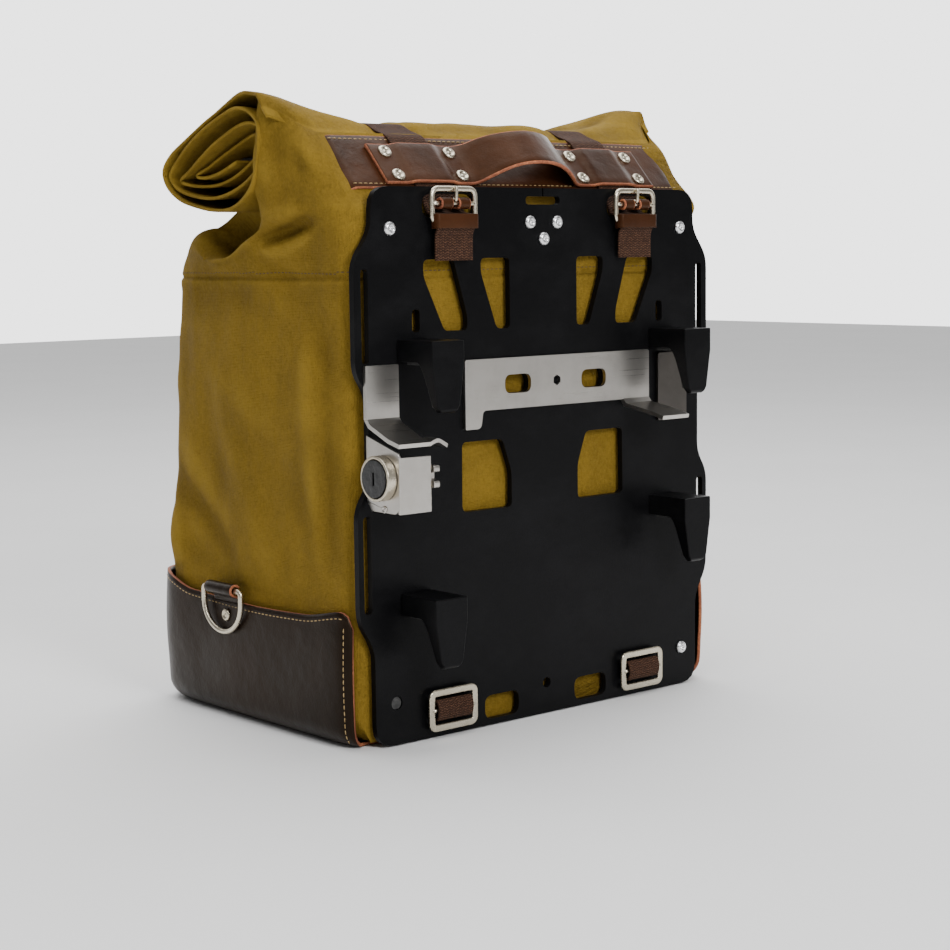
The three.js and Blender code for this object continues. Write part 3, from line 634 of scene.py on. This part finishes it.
# Grooves of the left half: start, end, width and depth. The right half has its own, so it isn't a copy.
LEFT_GROOVES = [
    ((-184, 66, 424), (-172, 14, 386), 9, 3.0),
    ((-188, 104, 361), (-181, 44, 376), 5.5, 12.0),
    ((-188, 100, 378), (-182, 52, 389), 8, -4.0),
    ((-182, 70, 345), (-182, 30, 374), 14, 2.0),
    ((-180, 205, 330), (-180, 120, 318), 16, 2.6),
    ((-180, 60, 330), (-180, 25, 250), 18, 2.0),
    ((-180, 200, 300), (-180, 170, 150), 24, 3.0),
    ((-180, 130, 190), (-180, 80, 110), 22, 2.4),
    ((-180, 235, 140), (-180, 150, 108), 14, 2.2),
    ((-180, 90, 300), (-180, 110, 180), 26, 2.0),
    ((-180, 250, 190), (-180, 150, 124), 12, 5.5),
    ((-178, 250, 156), (-181, 232, 110), 15, -6.5),
    ((-180, 250, 168), (-180, 200, 160), 7, 2.4),
    ((-180, 60, 325), (-180, 48, 130), 10, -2.2),
    ((-180, 36, 300), (-180, 32, 110), 9, 2.2),
    ((-180, 175, 250), (-180, 100, 112), 16, -2.4),
    ((-184, 120, 352), (-181, 60, 330), 10, 2.6),
    ((-186, 84, 440), (-186, 72, 402), 9, 2.4),
    ((-184, 60, 440), (-180, 34, 400), 9, -2.6),
]
RIGHT_GROOVES = [
    ((182, 58, 424), (174, 16, 396), 9, 4.5),
    ((184, 60, 392), (186, 96, 402), 6, 4.0),
    ((180, 210, 322), (180, 110, 308), 18, 2.4),
    ((180, 190, 280), (180, 140, 130), 24, 3.0),
    ((180, 70, 240), (180, 100, 112), 20, 2.6),
]
FRONT_GROOVES = [
    ((-150, 248, 300), (-60, 252, 220), 22, 3.0),
    ((140, 246, 310), (30, 252, 240), 24, 3.2),
    ((-40, 256, 180), (60, 258, 118), 22, 2.6),
    ((-160, 255, 150), (-110, 258, 112), 16, 2.4),
    ((150, 255, 170), (100, 258, 112), 18, 2.4),
    ((-120, 230, 348), (-20, 234, 341), 8, 2.0),
    ((20, 233, 341), (130, 230, 349), 8, 2.0),
]


# Level rings below the seam: height, front, how far the front and sides bulge, and how far the sides draw in.
LOW_RINGS = [
    (5, 245, 0, 15), (10, 253, 0, 7), (24, 260, 0), (60, 261, 0), (98, 260, 0), (112, 260, 1),
    (165, 256, 3), (230, 250, 4), (290, 244.5, 3), (328, 240.5, 1), (SEAM_Z, 240, 0.5),
]


def bag_points():
    """The bag's skin: rings of control points joined by splines round the bag and up it, then creased."""
    half = np.array([low_ring(*row) for row in LOW_RINGS] + HIGH_RINGS, float)
    mirror = half[:, -2:0:-1] * [-1, 1, 1]
    x, y, z = np.moveaxis(mirror, -1, 0)
    # The right end stands out a little further than the left, just under the roll.
    upper = smooth(370, 392, z) * smooth(95, 70, y) * smooth(150, 168, x) * (1 - smooth(428, 446, z))
    mirror = mirror + upper[..., None] * [3.5, -5.0, 1.0]
    net = np.concatenate([half, mirror], 1)
    across = spline(net.transpose(1, 0, 2), 14, closed=True)
    points = spline(across.transpose(1, 0, 2), 9).transpose(1, 0, 2)
    normals = grid_normals(points, True)
    # The canvas is free to ripple where neither the boot nor the plate holds it.
    free = smooth(100, 125, points[..., 2]) * smooth(9.5, 24, points[..., 1])
    for seed, size, amount in ((4, 110, 1.6), (9, 38, 0.6)):
        points = points + normals * (ripples(points, seed, size, amount) * free)[..., None]
    for start, end, width, depth in LEFT_GROOVES + RIGHT_GROOVES + FRONT_GROOVES:
        normals = grid_normals(points, True)
        points = crease(points, normals, start, end, width, depth)
    level = points[..., 2] < 342
    seam = np.exp(-(((points[..., 2] - SEAM_Z) / 1.6) ** 2)) * level
    tuck = np.exp(-(((points[..., 2] - SEAM_Z + 5) / 4) ** 2)) * level * smooth(6, 22, points[..., 1])
    points = points - grid_normals(points, True) * (seam * 1.1 - tuck * 0.8)[..., None]
    return points


def mark_fold_shade_and_wear(piece, points, reach=4):
    """How each point lies among its neighbours, as the attribute that paints shade into the canvas's hollows
    and lightens its ridges, partly as wear and partly as a painted highlight: 0 a hollow, 0.5 level, 1 a
    ridge.
    """
    p = np.asarray(points)
    around = sum(np.roll(p, k, 0) for k in (-reach, reach)) + p * 2
    ends = np.concatenate([p[:, :1].repeat(reach, 1), p, p[:, -1:].repeat(reach, 1)], 1)
    around = around + ends[:, : -2 * reach] + ends[:, 2 * reach :]
    out = np.sum((p - around / 6) * grid_normals(p, True), -1)
    value = np.clip(0.5 + out / 2.2, 0, 1)
    layer = piece.data.attributes.new("painted_fold_shade_and_wear", "FLOAT", "POINT")
    layer.data.foreach_set("value", value.ravel().astype(np.float32))


bag = bag_points()
canvas = surface("canvas_bag", bag, [CANVAS], wrap_rows=True, inside=(0, 130, 200))
mark_fold_shade_and_wear(canvas, bag)
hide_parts("canvas_body", "canvas_neck")
thicken(canvas, 1.2, -1)


def floor_tray(edge):
    """A shallow tray under the base board: the bag's bottom edge drawn in towards its middle."""
    middle = edge.mean(0)
    scale = np.linspace(1, 0.02, 12)[None, :, None]
    tray = middle + (edge[:, None] - middle) * scale
    tray[..., 2] = 5 - 1.2 * smooth(1, 0.85, scale[..., 0])
    return tray


tray = floor_tray(bag[:, 0])
canvas_floor = surface("canvas_floor", tray, [CANVAS], wrap_rows=True)
thicken(canvas_floor, 1.0, 1)

# ---------------------------------------------------------------- the rolled mouth
# The rolled canvas seen from its end, from the back over the top and round into the middle.
SPIRAL = [
    (50, 432.5), (57, 440), (66, 450), (80, 460), (97, 466.5), (114, 467.5), (139, 461), (162, 452),
    (180, 443.5), (198, 434), (212, 426.5), (222.5, 418), (223.5, 411), (218, 403), (207, 396), (192, 391),
    (166, 387.3),
    (140, 386), (122, 389), (105, 397), (92, 410), (86, 426), (90, 442), (102, 452), (120, 457), (137, 454),
    (160, 446), (184, 435.5), (204, 424.5), (217, 415), (213, 407.5), (203, 402.5), (184, 398.5), (160, 396),
    (138, 398), (116, 404.5), (98, 415), (88, 427), (90, 438), (102, 445.5), (120, 445), (150, 434.5),
    (171, 425), (190, 416.5), (206, 411), (199, 407.5), (181, 405.5), (158, 406), (134, 411), (112, 420),
    (97, 429), (98, 437), (112, 438.5), (130, 433.5), (154, 425), (171, 418), (187, 412.8), (176, 411),
    (156, 414), (132, 422),
]
ROLL_END = 191.0  # half the roll's length
ROLL_LOW = 387.5
ROLL_MIDDLE = np.array([150.0, 410.0])
OUTER_TURN = 95  # rows of the roll that lie in its outer turn
ROLL_GROOVES = [
    ((-60, 120, 446), (-150, 190, 440), 9, 3.0),
    ((60, 118, 446), (140, 180, 444), 10, 3.0),
    ((-40, 90, 440), (40, 88, 442), 8, 2.4),
    ((-170, 100, 464), (-110, 80, 448), 8, 3.2),
    ((168, 104, 464), (112, 84, 450), 8, 3.2),
    ((-20, 170, 440), (50, 200, 426), 9, 2.6),
    ((-185, 150, 458), (-120, 150, 446), 9, 2.2),
]


def roll_points():
    """The spiral carried from end to end; it sags in the middle, and its layers loosen towards the ends."""
    curve = even(spline(SPIRAL, 12), 3.2)
    turn = np.linspace(0, 1, len(curve))[:, None]
    x = np.sin(np.linspace(-0.5, 0.5, 150) * math.pi)[None] * 0.35 + np.linspace(-1, 1, 150)[None] * 0.65
    y = np.repeat(curve[:, :1], x.shape[1], 1)
    z = np.repeat(curve[:, 1:], x.shape[1], 1)
    far = np.abs(x)
    outer = 1 - smooth(0.42, 0.5, turn)  # the turns that are seen from outside
    sag = 0.79 + 0.21 * smooth(0.45, 1.0, far) ** 1.2  # height here as a share of the ends'
    # Where the roll leaves the neck, its two corners are drawn forwards and up.
    corner = (1 - smooth(50, 100, y)) * smooth(0.84, 1.0, far)
    y = y + corner * 28
    z = z + corner * 18
    belt = np.exp(-(((far * ROLL_END - STRAP_X) / 23) ** 2))  # the dent of each upper strap
    back = smooth(60, 100, y)
    z = ROLL_LOW + (z - ROLL_LOW) * (1 + (sag - 1) * back) - belt * 4.0 * outer * smooth(420, 440, z)
    z = z - (1 - back) * (1 - sag) * 26 * smooth(54, 66, y)
    y = y - (1 - sag) * 16 * smooth(150, 226, y)
    loose = smooth(0.8, 1.0, far)
    wobble = np.sin(turn * 34 + x * 3.1) * 1.2 + np.sin(turn * 61 - x * 7.3) * 0.7
    y = y + loose * wobble * smooth(0.05, 0.2, turn)
    z = z + loose * np.cos(turn * 27 + x * 5.0) * 1.3 * smooth(0.05, 0.2, turn)
    end = ROLL_END + 2.2 * np.sin(turn * 19 + 1.3) + 1.2 * np.sin(turn * 47) - 9 * smooth(0.4, 1.0, turn)
    points = np.stack([x * end, y, z], -1)
    points = points + grid_normals(points, False) * (ripples(points, 21, 60, 1.3) * outer)[..., None]
    for start, end, width, depth in ROLL_GROOVES:
        points = crease(points, grid_normals(points, False), start, end, width, depth)
    for side in (-STRAP_X, STRAP_X):
        press(points, side)
    return points


def column_at(points, x):
    """The roll's column nearest to x, as measured on one row of the outer turn."""
    return int(np.abs(points[30, :, 0] - x).argmin())


def press(points, x):
    """Flatten the outer turn under the webbing: no point beside its middle stands out past it."""
    arm = points[:OUTER_TURN, :, 1:] - ROLL_MIDDLE
    radius = np.linalg.norm(arm, axis=-1)
    under = radius[:, [column_at(points, x)]]
    weight = 1 - smooth(19, 28, np.abs(points[:OUTER_TURN, :, 0] - x))
    pressed = radius * (1 - weight) + np.minimum(radius, under + 0.4) * weight
    points[:OUTER_TURN, :, 1:] = ROLL_MIDDLE + arm * (pressed / radius)[..., None]


roll = roll_points()
rolled = surface("rolled_mouth", roll, [CANVAS])
mark_fold_shade_and_wear(rolled, roll)
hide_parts("roll_top")
thicken(rolled, 2.2, 0)
for node in ("roll_batten", "back_stiffener", "base_stiffener"):
    finished(node, BOARD)

# ---------------------------------------------------------------- seams of the canvas
columns_round = np.arange(len(bag))
seam_row = np.abs(bag[..., 2] - (SEAM_Z + 3.5)).argmin(1)
seam_line = bag[columns_round, seam_row]
seam_out = grid_normals(bag, True)[columns_round, seam_row]
stitches(
    "seam_stitches", seam_line, seam_out, length=3.0, pitch=4.2, thick=0.8, lift=0.2, thread=DARK_THREAD
)


# ---------------------------------------------------------------- leather boot
def boot_outline():
    """The boot's outline seen from above, from the back left corner round the front to the back right."""
    half = np.array([
        (-179.6, PLATE_BACK), (-182, 11.5), (-184.6, 20), (-185.8, 45), (-186.4, 120), (-186.4, 180),
        (-185.8, 222), (-182.4, 244.5), (-172.5, 260), (-153.5, 268), (-120, 269.6), (-60, 270.2), (0, 270.4),
    ])
    return even(spline(np.concatenate([half, half[-2::-1] * [-1, 1]]), 10), 4)


def boot_points():
    """Sole, rounded bottom edge and wall; the wall's top edge runs low in the middle of each side."""
    line = boot_outline()
    run = np.concatenate([[0], np.cumsum(np.linalg.norm(np.diff(line, axis=0), axis=1))])
    x, y = line[:, 0], line[:, 1]
    on_side = smooth(150, 180, np.abs(x))
    top = 95 - 3.5 * np.sin(np.clip((y - 20) / 210, 0, 1) * math.pi) * on_side + 9 * smooth(205, 262, y)
    top = top + 5 * smooth(60, 12, y) * on_side - 8 * (1 - smooth(60, 150, np.abs(x)))
    rear = np.minimum(run, run[-1] - run)
    top = top - 12 * (1 - np.sqrt(1 - (1 - np.clip(rear / 12, 0, 1)) ** 2))
    tangent = unit(np.gradient(line, axis=0))
    inward = np.stack([tangent[:, 1], -tangent[:, 0]], 1)
    inward = inward * np.sign(np.sum(inward * (np.array([0, 130]) - line), 1, keepdims=True))
    radius = 17.0
    sole_middle = np.array([0, 9.5])

    def row(base, z):
        base[:, 1] = np.maximum(base[:, 1], PLATE_BACK)
        return np.column_stack([base, np.full(len(line), z)])

    rows = [row(sole_middle + (line + inward * radius - sole_middle) * shrink, 0.0)
            for shrink in np.linspace(0.03, 1, 14)[:-1]]
    rows += [row(line + inward * radius * (1 - math.sin(a)), radius * (1 - math.cos(a)))
             for a in np.linspace(0, math.pi / 2, 8)]
    for t in np.linspace(0, 1, 24)[1:]:
        flare = 1.2 * math.sin(t * math.pi) - 0.6 * t
        rows.append(np.column_stack([line - inward * flare, radius + (top - radius) * t]))
    return np.array(rows), inward


boot, boot_inward = boot_points()
outward = np.concatenate([-boot_inward, np.zeros((len(boot_inward), 1))], 1)
uneven = ripples(boot, 31, 90, 0.9) * smooth(15, 50, boot[..., 2])
boot = boot + outward[None] * uneven[..., None]
boot[..., 2] += 0.35
leather = surface("boot_shell", boot, [BOOT, EDGE], inside=(0, 130, 80))
thicken(leather, 2.6, -1)
leather.modifiers["wall"].material_offset_rim = 1
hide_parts("leather_boot")

edge_out = outward[2:-2]
stitches("boot_top_stitches", boot[-1, 2:-2] - [0, 0, 4.6] + edge_out * 0.1, edge_out)
for hand, column in (("left", 1), ("right", -2)):
    upright = boot[16:-2, column] + outward[column] * 0.1
    ahead = boot[16:-2, column + (2 if column > 0 else -2)]
    line = upright * 0.6 + ahead * 0.4 + outward[column] * 0.3
    stitches("boot_back_stitches_" + hand, line, outward[column])

# ---------------------------------------------------------------- leather on the sloping back
SLOPE_FOOT = np.array([0.0, 8.0, 385.5])
UP_SLOPE = unit(np.array([0.0, 47.0, 51.9]))
OUT_SLOPE = np.array([0.0, -UP_SLOPE[2], UP_SLOPE[1]])


def on_slope(x, along, out):
    """A point over the sloping back: x across, along up the slope, out from the canvas."""
    x, along, out = np.broadcast_arrays(*(np.asarray(q, float) for q in (x, along, out)))
    return SLOPE_FOOT + x[..., None] * [1, 0, 0] + along[..., None] * UP_SLOPE + out[..., None] * OUT_SLOPE


def back_strip():
    """The leather panel across the back, bowed a little between its rivets, with its ends tucked down."""
    x = np.linspace(-167, 167, 120)
    bow = 0.8 * np.cos(x / 60 * math.pi) * smooth(167, 150, np.abs(x))
    path = on_slope(x, 41.5 + 0 * x, 1.7 + bow * 0.4 - 3.5 * smooth(160, 167, np.abs(x)))
    return strip("back_leather", path, OUT_SLOPE, 52, 2.2, [TRIM, EDGE])


panel = back_strip()
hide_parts("leather_strip")
row_x = np.linspace(-163, 163, 160)
for row, along in (("low", 19.5), ("high", 63.5)):
    stitches("back_stitches_" + row, on_slope(row_x, along, 2.95 + 0 * row_x), OUT_SLOPE, lift=0.1)

FLAT_OUT = 4.7
HALF_HANDLE = [(134, FLAT_OUT), (113, FLAT_OUT), (109, 6.9), (74, 6.9), (70, FLAT_OUT), (53, FLAT_OUT)]
ARCH = [(46, 7.5), (39, 14), (30, 20.5), (20, 25), (10, 27.3), (0, 28)]


def handle_path():
    """Flat at the rivets, over the two straps, and up in an arch between them."""
    half = HALF_HANDLE + ARCH
    line = np.array(half + [(-x, out) for x, out in half[-2::-1]], float)
    line = rounded(line, 1.5, 4)
    x, out = line[:, 0], line[:, 1]
    return on_slope(x, 37 - 0.09 * (out - FLAT_OUT), out), x


handle_line, handle_x = handle_path()
narrow = 1 - 0.16 * np.exp(-((handle_x / 34) ** 4))
handle = strip("handle", handle_line, OUT_SLOPE, 39, 3.0, [TRIM, EDGE], taper=narrow)
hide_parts("handle_strap")

# Turned profiles as (radius, height): a hollow rivet's dome, and further on a plain cap and a screw's head.
DOME = [
    (0.05, 0.5), (1.3, 0.3), (2.1, -0.1), (2.9, 1.0), (3.7, 1.35), (4.7, 0.9), (5.5, 0.0), (5.3, -0.9),
    (0.05, -0.9),
]
dome_shape, dome_faces = turned_shape(DOME, 24)
rivet_spots = [(x, s) for x in (-121, -61, 61, 121) for s in (25, 48)]
rivet_places = [(on_slope(x, s, FLAT_OUT + 2.1), axes_of(OUT_SLOPE)) for x, s in rivet_spots]
rivets = copies("handle_rivets", dome_shape, dome_faces, rivet_places, NICKEL)
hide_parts(*["handle_rivet_%d" % (i + 1) for i in range(8)])

# ---------------------------------------------------------------- webbing, buckles and lower rings
def strap_line(x):
    """The webbing's middle line at one side: tail, buckle, slope, over the roll and down the front."""
    columns = [column_at(roll, x + beside) for beside in (0, -18, -9, 9, 18)]
    turns = roll[:OUTER_TURN, columns, 1:]
    reach = np.linalg.norm(turns - ROLL_MIDDLE, axis=-1).max(1)
    over = ROLL_MIDDLE + unit(turns[:, 0] - ROLL_MIDDLE) * (reach[:, None] + 3.2)
    over = over[(turns[:, 0, 1] > 402) & (over[:, 0] > 62)]
    tail = [(-5, 347), (-5, 366), (-8.6, 371), (-8.6, 377), (-5, 380), (4, 380.6)]
    slope = [on_slope(0.0, s, out)[1:] for s, out in ((3, 2.2), (12, 4.1), (66, 4.1))]
    front = [
        (228, 400), (228.5, 390), (234, 362), (240.5, 345), (244, 330), (249.5, 280), (256, 210),
        (262.5, 130), (266, 112), (270.5, 104), (272.8, 92), (273.2, 55),
    ]
    line = rounded(np.concatenate([tail, slope, over[::4], front]), 1.5, 3)
    return np.column_stack([np.full(len(line), x), line])


def frame_loop(x, z, half, tall, radius, y):
    """A rounded rectangle in X and Z at one Y."""
    corners = []
    for sx, sz, start in CORNERS:
        angles = (start + np.arange(6) / 5) * math.pi / 2
        centre = np.array([sx * (half - radius), sz * (tall - radius)])
        corners.append(centre + radius * np.stack([np.cos(angles), np.sin(angles)], 1))
    loop = np.concatenate(corners)
    return np.column_stack([x + loop[:, 0], np.full(len(loop), y), z + loop[:, 1]])


def closed_even(loop, step):
    """A closed line with samples about step apart."""
    return even(np.concatenate([loop, loop[:1]]), step)[:-1]


def straight(a, b):
    return np.linspace(np.array(a, float), np.array(b, float), 12)


def facing(path):
    """Which way a strip along path faces: square to the path and to X."""
    return np.cross(np.gradient(path, axis=0), [1, 0, 0])


def wrap_path(x, y, z, radius, tail, tall=1.0):
    """Once round a bar that lies along X, then straight back through the plate."""
    angles = np.radians(np.linspace(-20, 250, 30))
    ring = np.column_stack([np.full(30, x), y + radius * np.cos(angles), z + tall * radius * np.sin(angles)])
    return np.concatenate([ring, [[x, tail, z - tall * radius + 0.3]]])


BUCKLE_Y, BUCKLE_Z = -5.2, 387.5  # the buckle's bar
RING_X, RING_Y, RING_Z = 98, -5.0, 21.5  # the lower ring's bar
BAR_HALF, BAR_RADIUS = 20, 1.7
CAP = [(0.05, 1.2), (1.4, 1.1), (2.6, 0.7), (3.2, 0.0), (2.8, -0.5), (0.05, -0.6)]
cap_shape, cap_faces = turned_shape(CAP, 18)
UP = (0, 0, 1)
for hand, sign in HANDS:
    x = sign * STRAP_X
    path = strap_line(x)
    strap = strip("webbing_" + hand, path, facing(path), STRAP_WIDE, 1.7, [WEB], radius=0.6)
    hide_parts("strap_" + hand)

    body = "buckle_" + hand
    loop = closed_even(frame_loop(x, 386, 20, 11.8, 5, -5.4), 1.2)
    buckle = tube(body + "_frame", loop, (0, -1, 0), 2.1, NICKEL, closed=True, flatten=0.8, body=body)
    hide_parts("buckle_frame_" + hand)
    ends = straight((x - BAR_HALF, BUCKLE_Y, BUCKLE_Z), (x + BAR_HALF, BUCKLE_Y, BUCKLE_Z))
    bar = tube(body + "_bar", ends, UP, BAR_RADIUS, NICKEL, body=body)

    for part, middle in (("inner", -8.2), ("outer", 8.2)):
        wrap = wrap_path(x + middle, BUCKLE_Y, BUCKLE_Z, 3.3, 4.8)
        sleeve_out = facing(wrap_path(0, 0, 0, 3.3, 10))
        sleeve = strip("buckle_sleeve_%s_%s" % (hand, part), wrap, sleeve_out, 10.8, 2.0, [TRIM, EDGE])
        if part == "inner":
            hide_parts("buckle_wrap_" + hand)
    band = [(-18.4, -3.2, 374.6), (-19.4, -7.0, 374.8), (-18.2, -10.6, 375)]
    band = np.array(band + [(-across, y, z) for across, y, z in band[::-1]]) + [x, 0, 0]
    keeper = strip("buckle_keeper_" + hand, rounded(band, 0.8, 1.4), UP, 1.4, 10.5, [TRIM], radius=0.6)

    angles = np.radians(np.linspace(-60, 200, 16))
    root = np.column_stack([np.full(16, x), BUCKLE_Y + 2.9 * np.cos(angles), BUCKLE_Z + 2.9 * np.sin(angles)])
    tip = np.array([(x, -8.2, 389.5), (x, -8.5, 393), (x, -8.7, 397), (x, -8.4, 399.6)])
    pin = rounded(np.concatenate([root[::-1][4:12], tip]), 0.7, 1.4)
    prong = tube("prong_" + hand + "_pin", pin, (1, 0, 0), 1.25, NICKEL, body="prong_" + hand)
    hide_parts("buckle_prong_" + hand)

    ring_x = sign * RING_X
    body = "lower_buckle_" + hand
    loop = closed_even(frame_loop(ring_x, RING_Z, 20.4, 12.9, 3.5, RING_Y), 1.2)
    ring = strip(
        "lower_ring_" + hand, loop, (0, -1, 0), 5.2, 2.6, [NICKEL], closed=True, radius=0.8, body=body
    )
    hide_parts("lower_frame_" + hand)
    ends = straight((ring_x - BAR_HALF, RING_Y, RING_Z), (ring_x + BAR_HALF, RING_Y, RING_Z))
    bar = tube("lower_bar_" + hand, ends, UP, BAR_RADIUS, NICKEL, body=body)
    wrap = wrap_path(ring_x, RING_Y, RING_Z, 3.2, 7.0, tall=2.2)
    sling = strip("lower_webbing_" + hand, wrap, facing(wrap), 33, 1.8, [WEB], radius=0.6)
    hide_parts("lower_wrap_" + hand)
    spots = [((x + dx, 274.5, 66), axes_of((0, 1, 0))) for dx in (-10, 10)]
    pins = copies("strap_rivets_" + hand, cap_shape, cap_faces, spots, NICKEL)

# ---------------------------------------------------------------- D-rings
D_X, D_Y, D_Z = 190.0, 157.0, 101.0  # the middle of the straight bar
D_HALF = 24.9
D_DEEP = 22.4
for hand, sign in HANDS:
    angles = np.linspace(0, math.pi, 30)
    arc_z = D_Z - 10.5 - D_DEEP * np.sin(angles)
    arc = np.column_stack([np.zeros(30), D_Y + D_HALF * np.cos(angles), arc_z])
    bar = straight((0, D_Y - D_HALF, D_Z), (0, D_Y + D_HALF, D_Z))
    loop = closed_even(np.concatenate([bar, arc]), 1.5)
    loop = sum(np.roll(loop, k, 0) for k in (-2, -1, 0, 1, 2)) / 5
    loop[:, 0] = sign * D_X
    ring = tube("ring_" + hand, loop, (1, 0, 0), 2.1, NICKEL, closed=True, body="d_ring_" + hand)
    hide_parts("d_ring_" + hand)

    angles = np.radians(np.linspace(-90, 150, 22))
    around = np.column_stack([D_X + 4.3 * np.cos(angles), D_Z + 4.3 * np.sin(angles)])
    line = rounded(np.concatenate([[(184.6, 91), (185.2, 95)], around[5:]]), 1.0, 2)
    path = np.column_stack([sign * line[:, 0], np.full(len(line), D_Y), line[:, 1]])
    out = np.cross(np.gradient(path, axis=0), [0, 1, 0]) * sign
    tab = strip("ring_tab_" + hand, path, out, 36, 2.0, [BOOT, EDGE])
    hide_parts("d_ring_tab_" + hand)
    spots = [((sign * 187.3, D_Y, 80.5), axes_of((sign, 0, 0)))]
    rivet = copies("ring_rivet_" + hand, dome_shape * [0.9, 0.9, 0.8], dome_faces, spots, NICKEL)
    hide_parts("d_ring_rivet_" + hand)

# ---------------------------------------------------------------- carrier plate, hooks, latch and lock
finished("carrier_plate", COAT, width=0.7)
finished("plate_plug", RUBBER, width=0.3)
for place in ("upper_left", "upper_right", "lower_left", "lower_right"):
    finished("hook_" + place, COAT, width=0.9, segments=3)
    finished("hook_liner_" + place, RUBBER, width=0.3)
# The latch_keeper gets the stainless that is painted dark as a reflection of the hook and shade.
for node, sheet_metal in (("latch_bar", STEEL), ("latch_keeper", DARK_REFLECTION_STEEL), ("lock_bracket", STEEL)):
    finished(node, sheet_metal, width=0.35)
finished("lock_box", STEEL, width=0.6)
finished("lock_cam", STEEL, "lock_turn", width=0.3)
finished("lock_barrel", NICKEL, width=0.8, segments=3)
finished("lock_core", CORE, "lock_turn", width=0.4)

BUTTON = [
    (0.05, -1.0), (1.5, -1.0), (1.55, 0.6), (2.6, 1.7), (4.2, 0.9), (5.1, -0.4), (5.1, -1.4), (0.05, -1.4),
]
button_shape, button_faces = turned_shape(BUTTON, 24)
screw_nodes = ["upper_left", "upper_right", "middle_left", "middle_right", "middle_low", "lower_right"]
screw_spots = []
for place in screw_nodes:
    low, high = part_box("screw_" + place)
    middle = (np.array(low) + np.array(high)) / 2 / MM
    screw_spots.append(((middle[0], -1.6, middle[2]), axes_of((0, -1, 0))))
heads = copies("plate_screws", button_shape, button_faces, screw_spots, ZINC)
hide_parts(*["screw_" + place for place in screw_nodes])

lock_spots = [((-171.4, -21, 176), axes_of((-1, 0, 0)))]
pins = copies("lock_rivets", dome_shape * 0.5, dome_faces, lock_spots, STEEL)

# ---------------------------------------------------------------- floor, light and camera
def area_light(name, place, size, power):
    """A square lamp that looks at the middle of the bag."""
    data = bpy.data.lights.new(name, "AREA")
    data.size = size
    data.energy = power
    lamp = bpy.data.objects.new(name, data)
    bpy.context.scene.collection.objects.link(lamp)
    lamp.location = place
    lamp.rotation_euler = (Vector((0, 0, 0.25)) - Vector(place)).to_track_quat("-Z", "Y").to_euler()


ground = bpy.data.meshes.new("ground")
ground.from_pydata([(-6, -6, 0), (6, -6, 0), (6, 6, 0), (-6, 6, 0)], [], [(0, 1, 2, 3)])
ground.materials.append(plain_finish("pale_floor", (0.8, 0.8, 0.8), (0.82, 0.82, 0.82), 0.9, 3))
floor = bpy.data.objects.new("ground", ground)
bpy.context.scene.collection.objects.link(floor)

# A pale room, brightest beyond the bag's right, on the side away from the plate.
world = bpy.data.worlds.new("soft_room")
world.use_nodes = True
world.node_tree.nodes["Background"].inputs["Color"].default_value = (1, 1, 1, 1)
room = world.node_tree.nodes
bright_side = room.new("ShaderNodeVectorMath")
bright_side.operation = "DOT_PRODUCT"
bright_side.inputs[1].default_value = (0.65, 0.74, 0.15)
glow = room.new("ShaderNodeMapRange")
glow.interpolation_type = "SMOOTHSTEP"
for socket, value in (("From Min", 0.35), ("From Max", 0.95), ("To Min", 0.26), ("To Max", 3.0)):
    glow.inputs[socket].default_value = value
links = world.node_tree.links
links.new(room.new("ShaderNodeTexCoord").outputs["Generated"], bright_side.inputs[0])
links.new(bright_side.outputs["Value"], glow.inputs["Value"])
links.new(glow.outputs["Result"], room["Background"].inputs["Strength"])
bpy.context.scene.world = world
area_light("key", (-1.6, -1.2, 2.3), 0.9, 20)
area_light("top", (0.2, 0.4, 2.6), 2.4, 60)
area_light("front", (-0.3, -2.5, 1.4), 0.8, 50)

AZIMUTH, PITCH, ROLL = math.radians(40.639), math.radians(6.539), math.radians(-0.7231)
flat = math.cos(PITCH)
forward = np.array([math.sin(AZIMUTH) * flat, math.cos(AZIMUTH) * flat, -math.sin(PITCH)])
level = np.array([math.cos(AZIMUTH), -math.sin(AZIMUTH), 0.0])
lift = np.cross(level, forward)
right = math.cos(ROLL) * level + math.sin(ROLL) * lift
above = -math.sin(ROLL) * level + math.cos(ROLL) * lift
view = bpy.data.cameras.new("view")
view.lens = 75.08
view.sensor_width = 36
camera = bpy.data.objects.new("view", view)
bpy.context.scene.collection.objects.link(camera)
stand = (-1.0112, -1.0966 + FACE_Y, 0.3558)
turn = np.stack([right, above, -forward], 1).tolist()
camera.matrix_world = Matrix([[*row, place] for row, place in zip(turn, stand)] + [[0, 0, 0, 1]])
bpy.context.scene.camera = camera
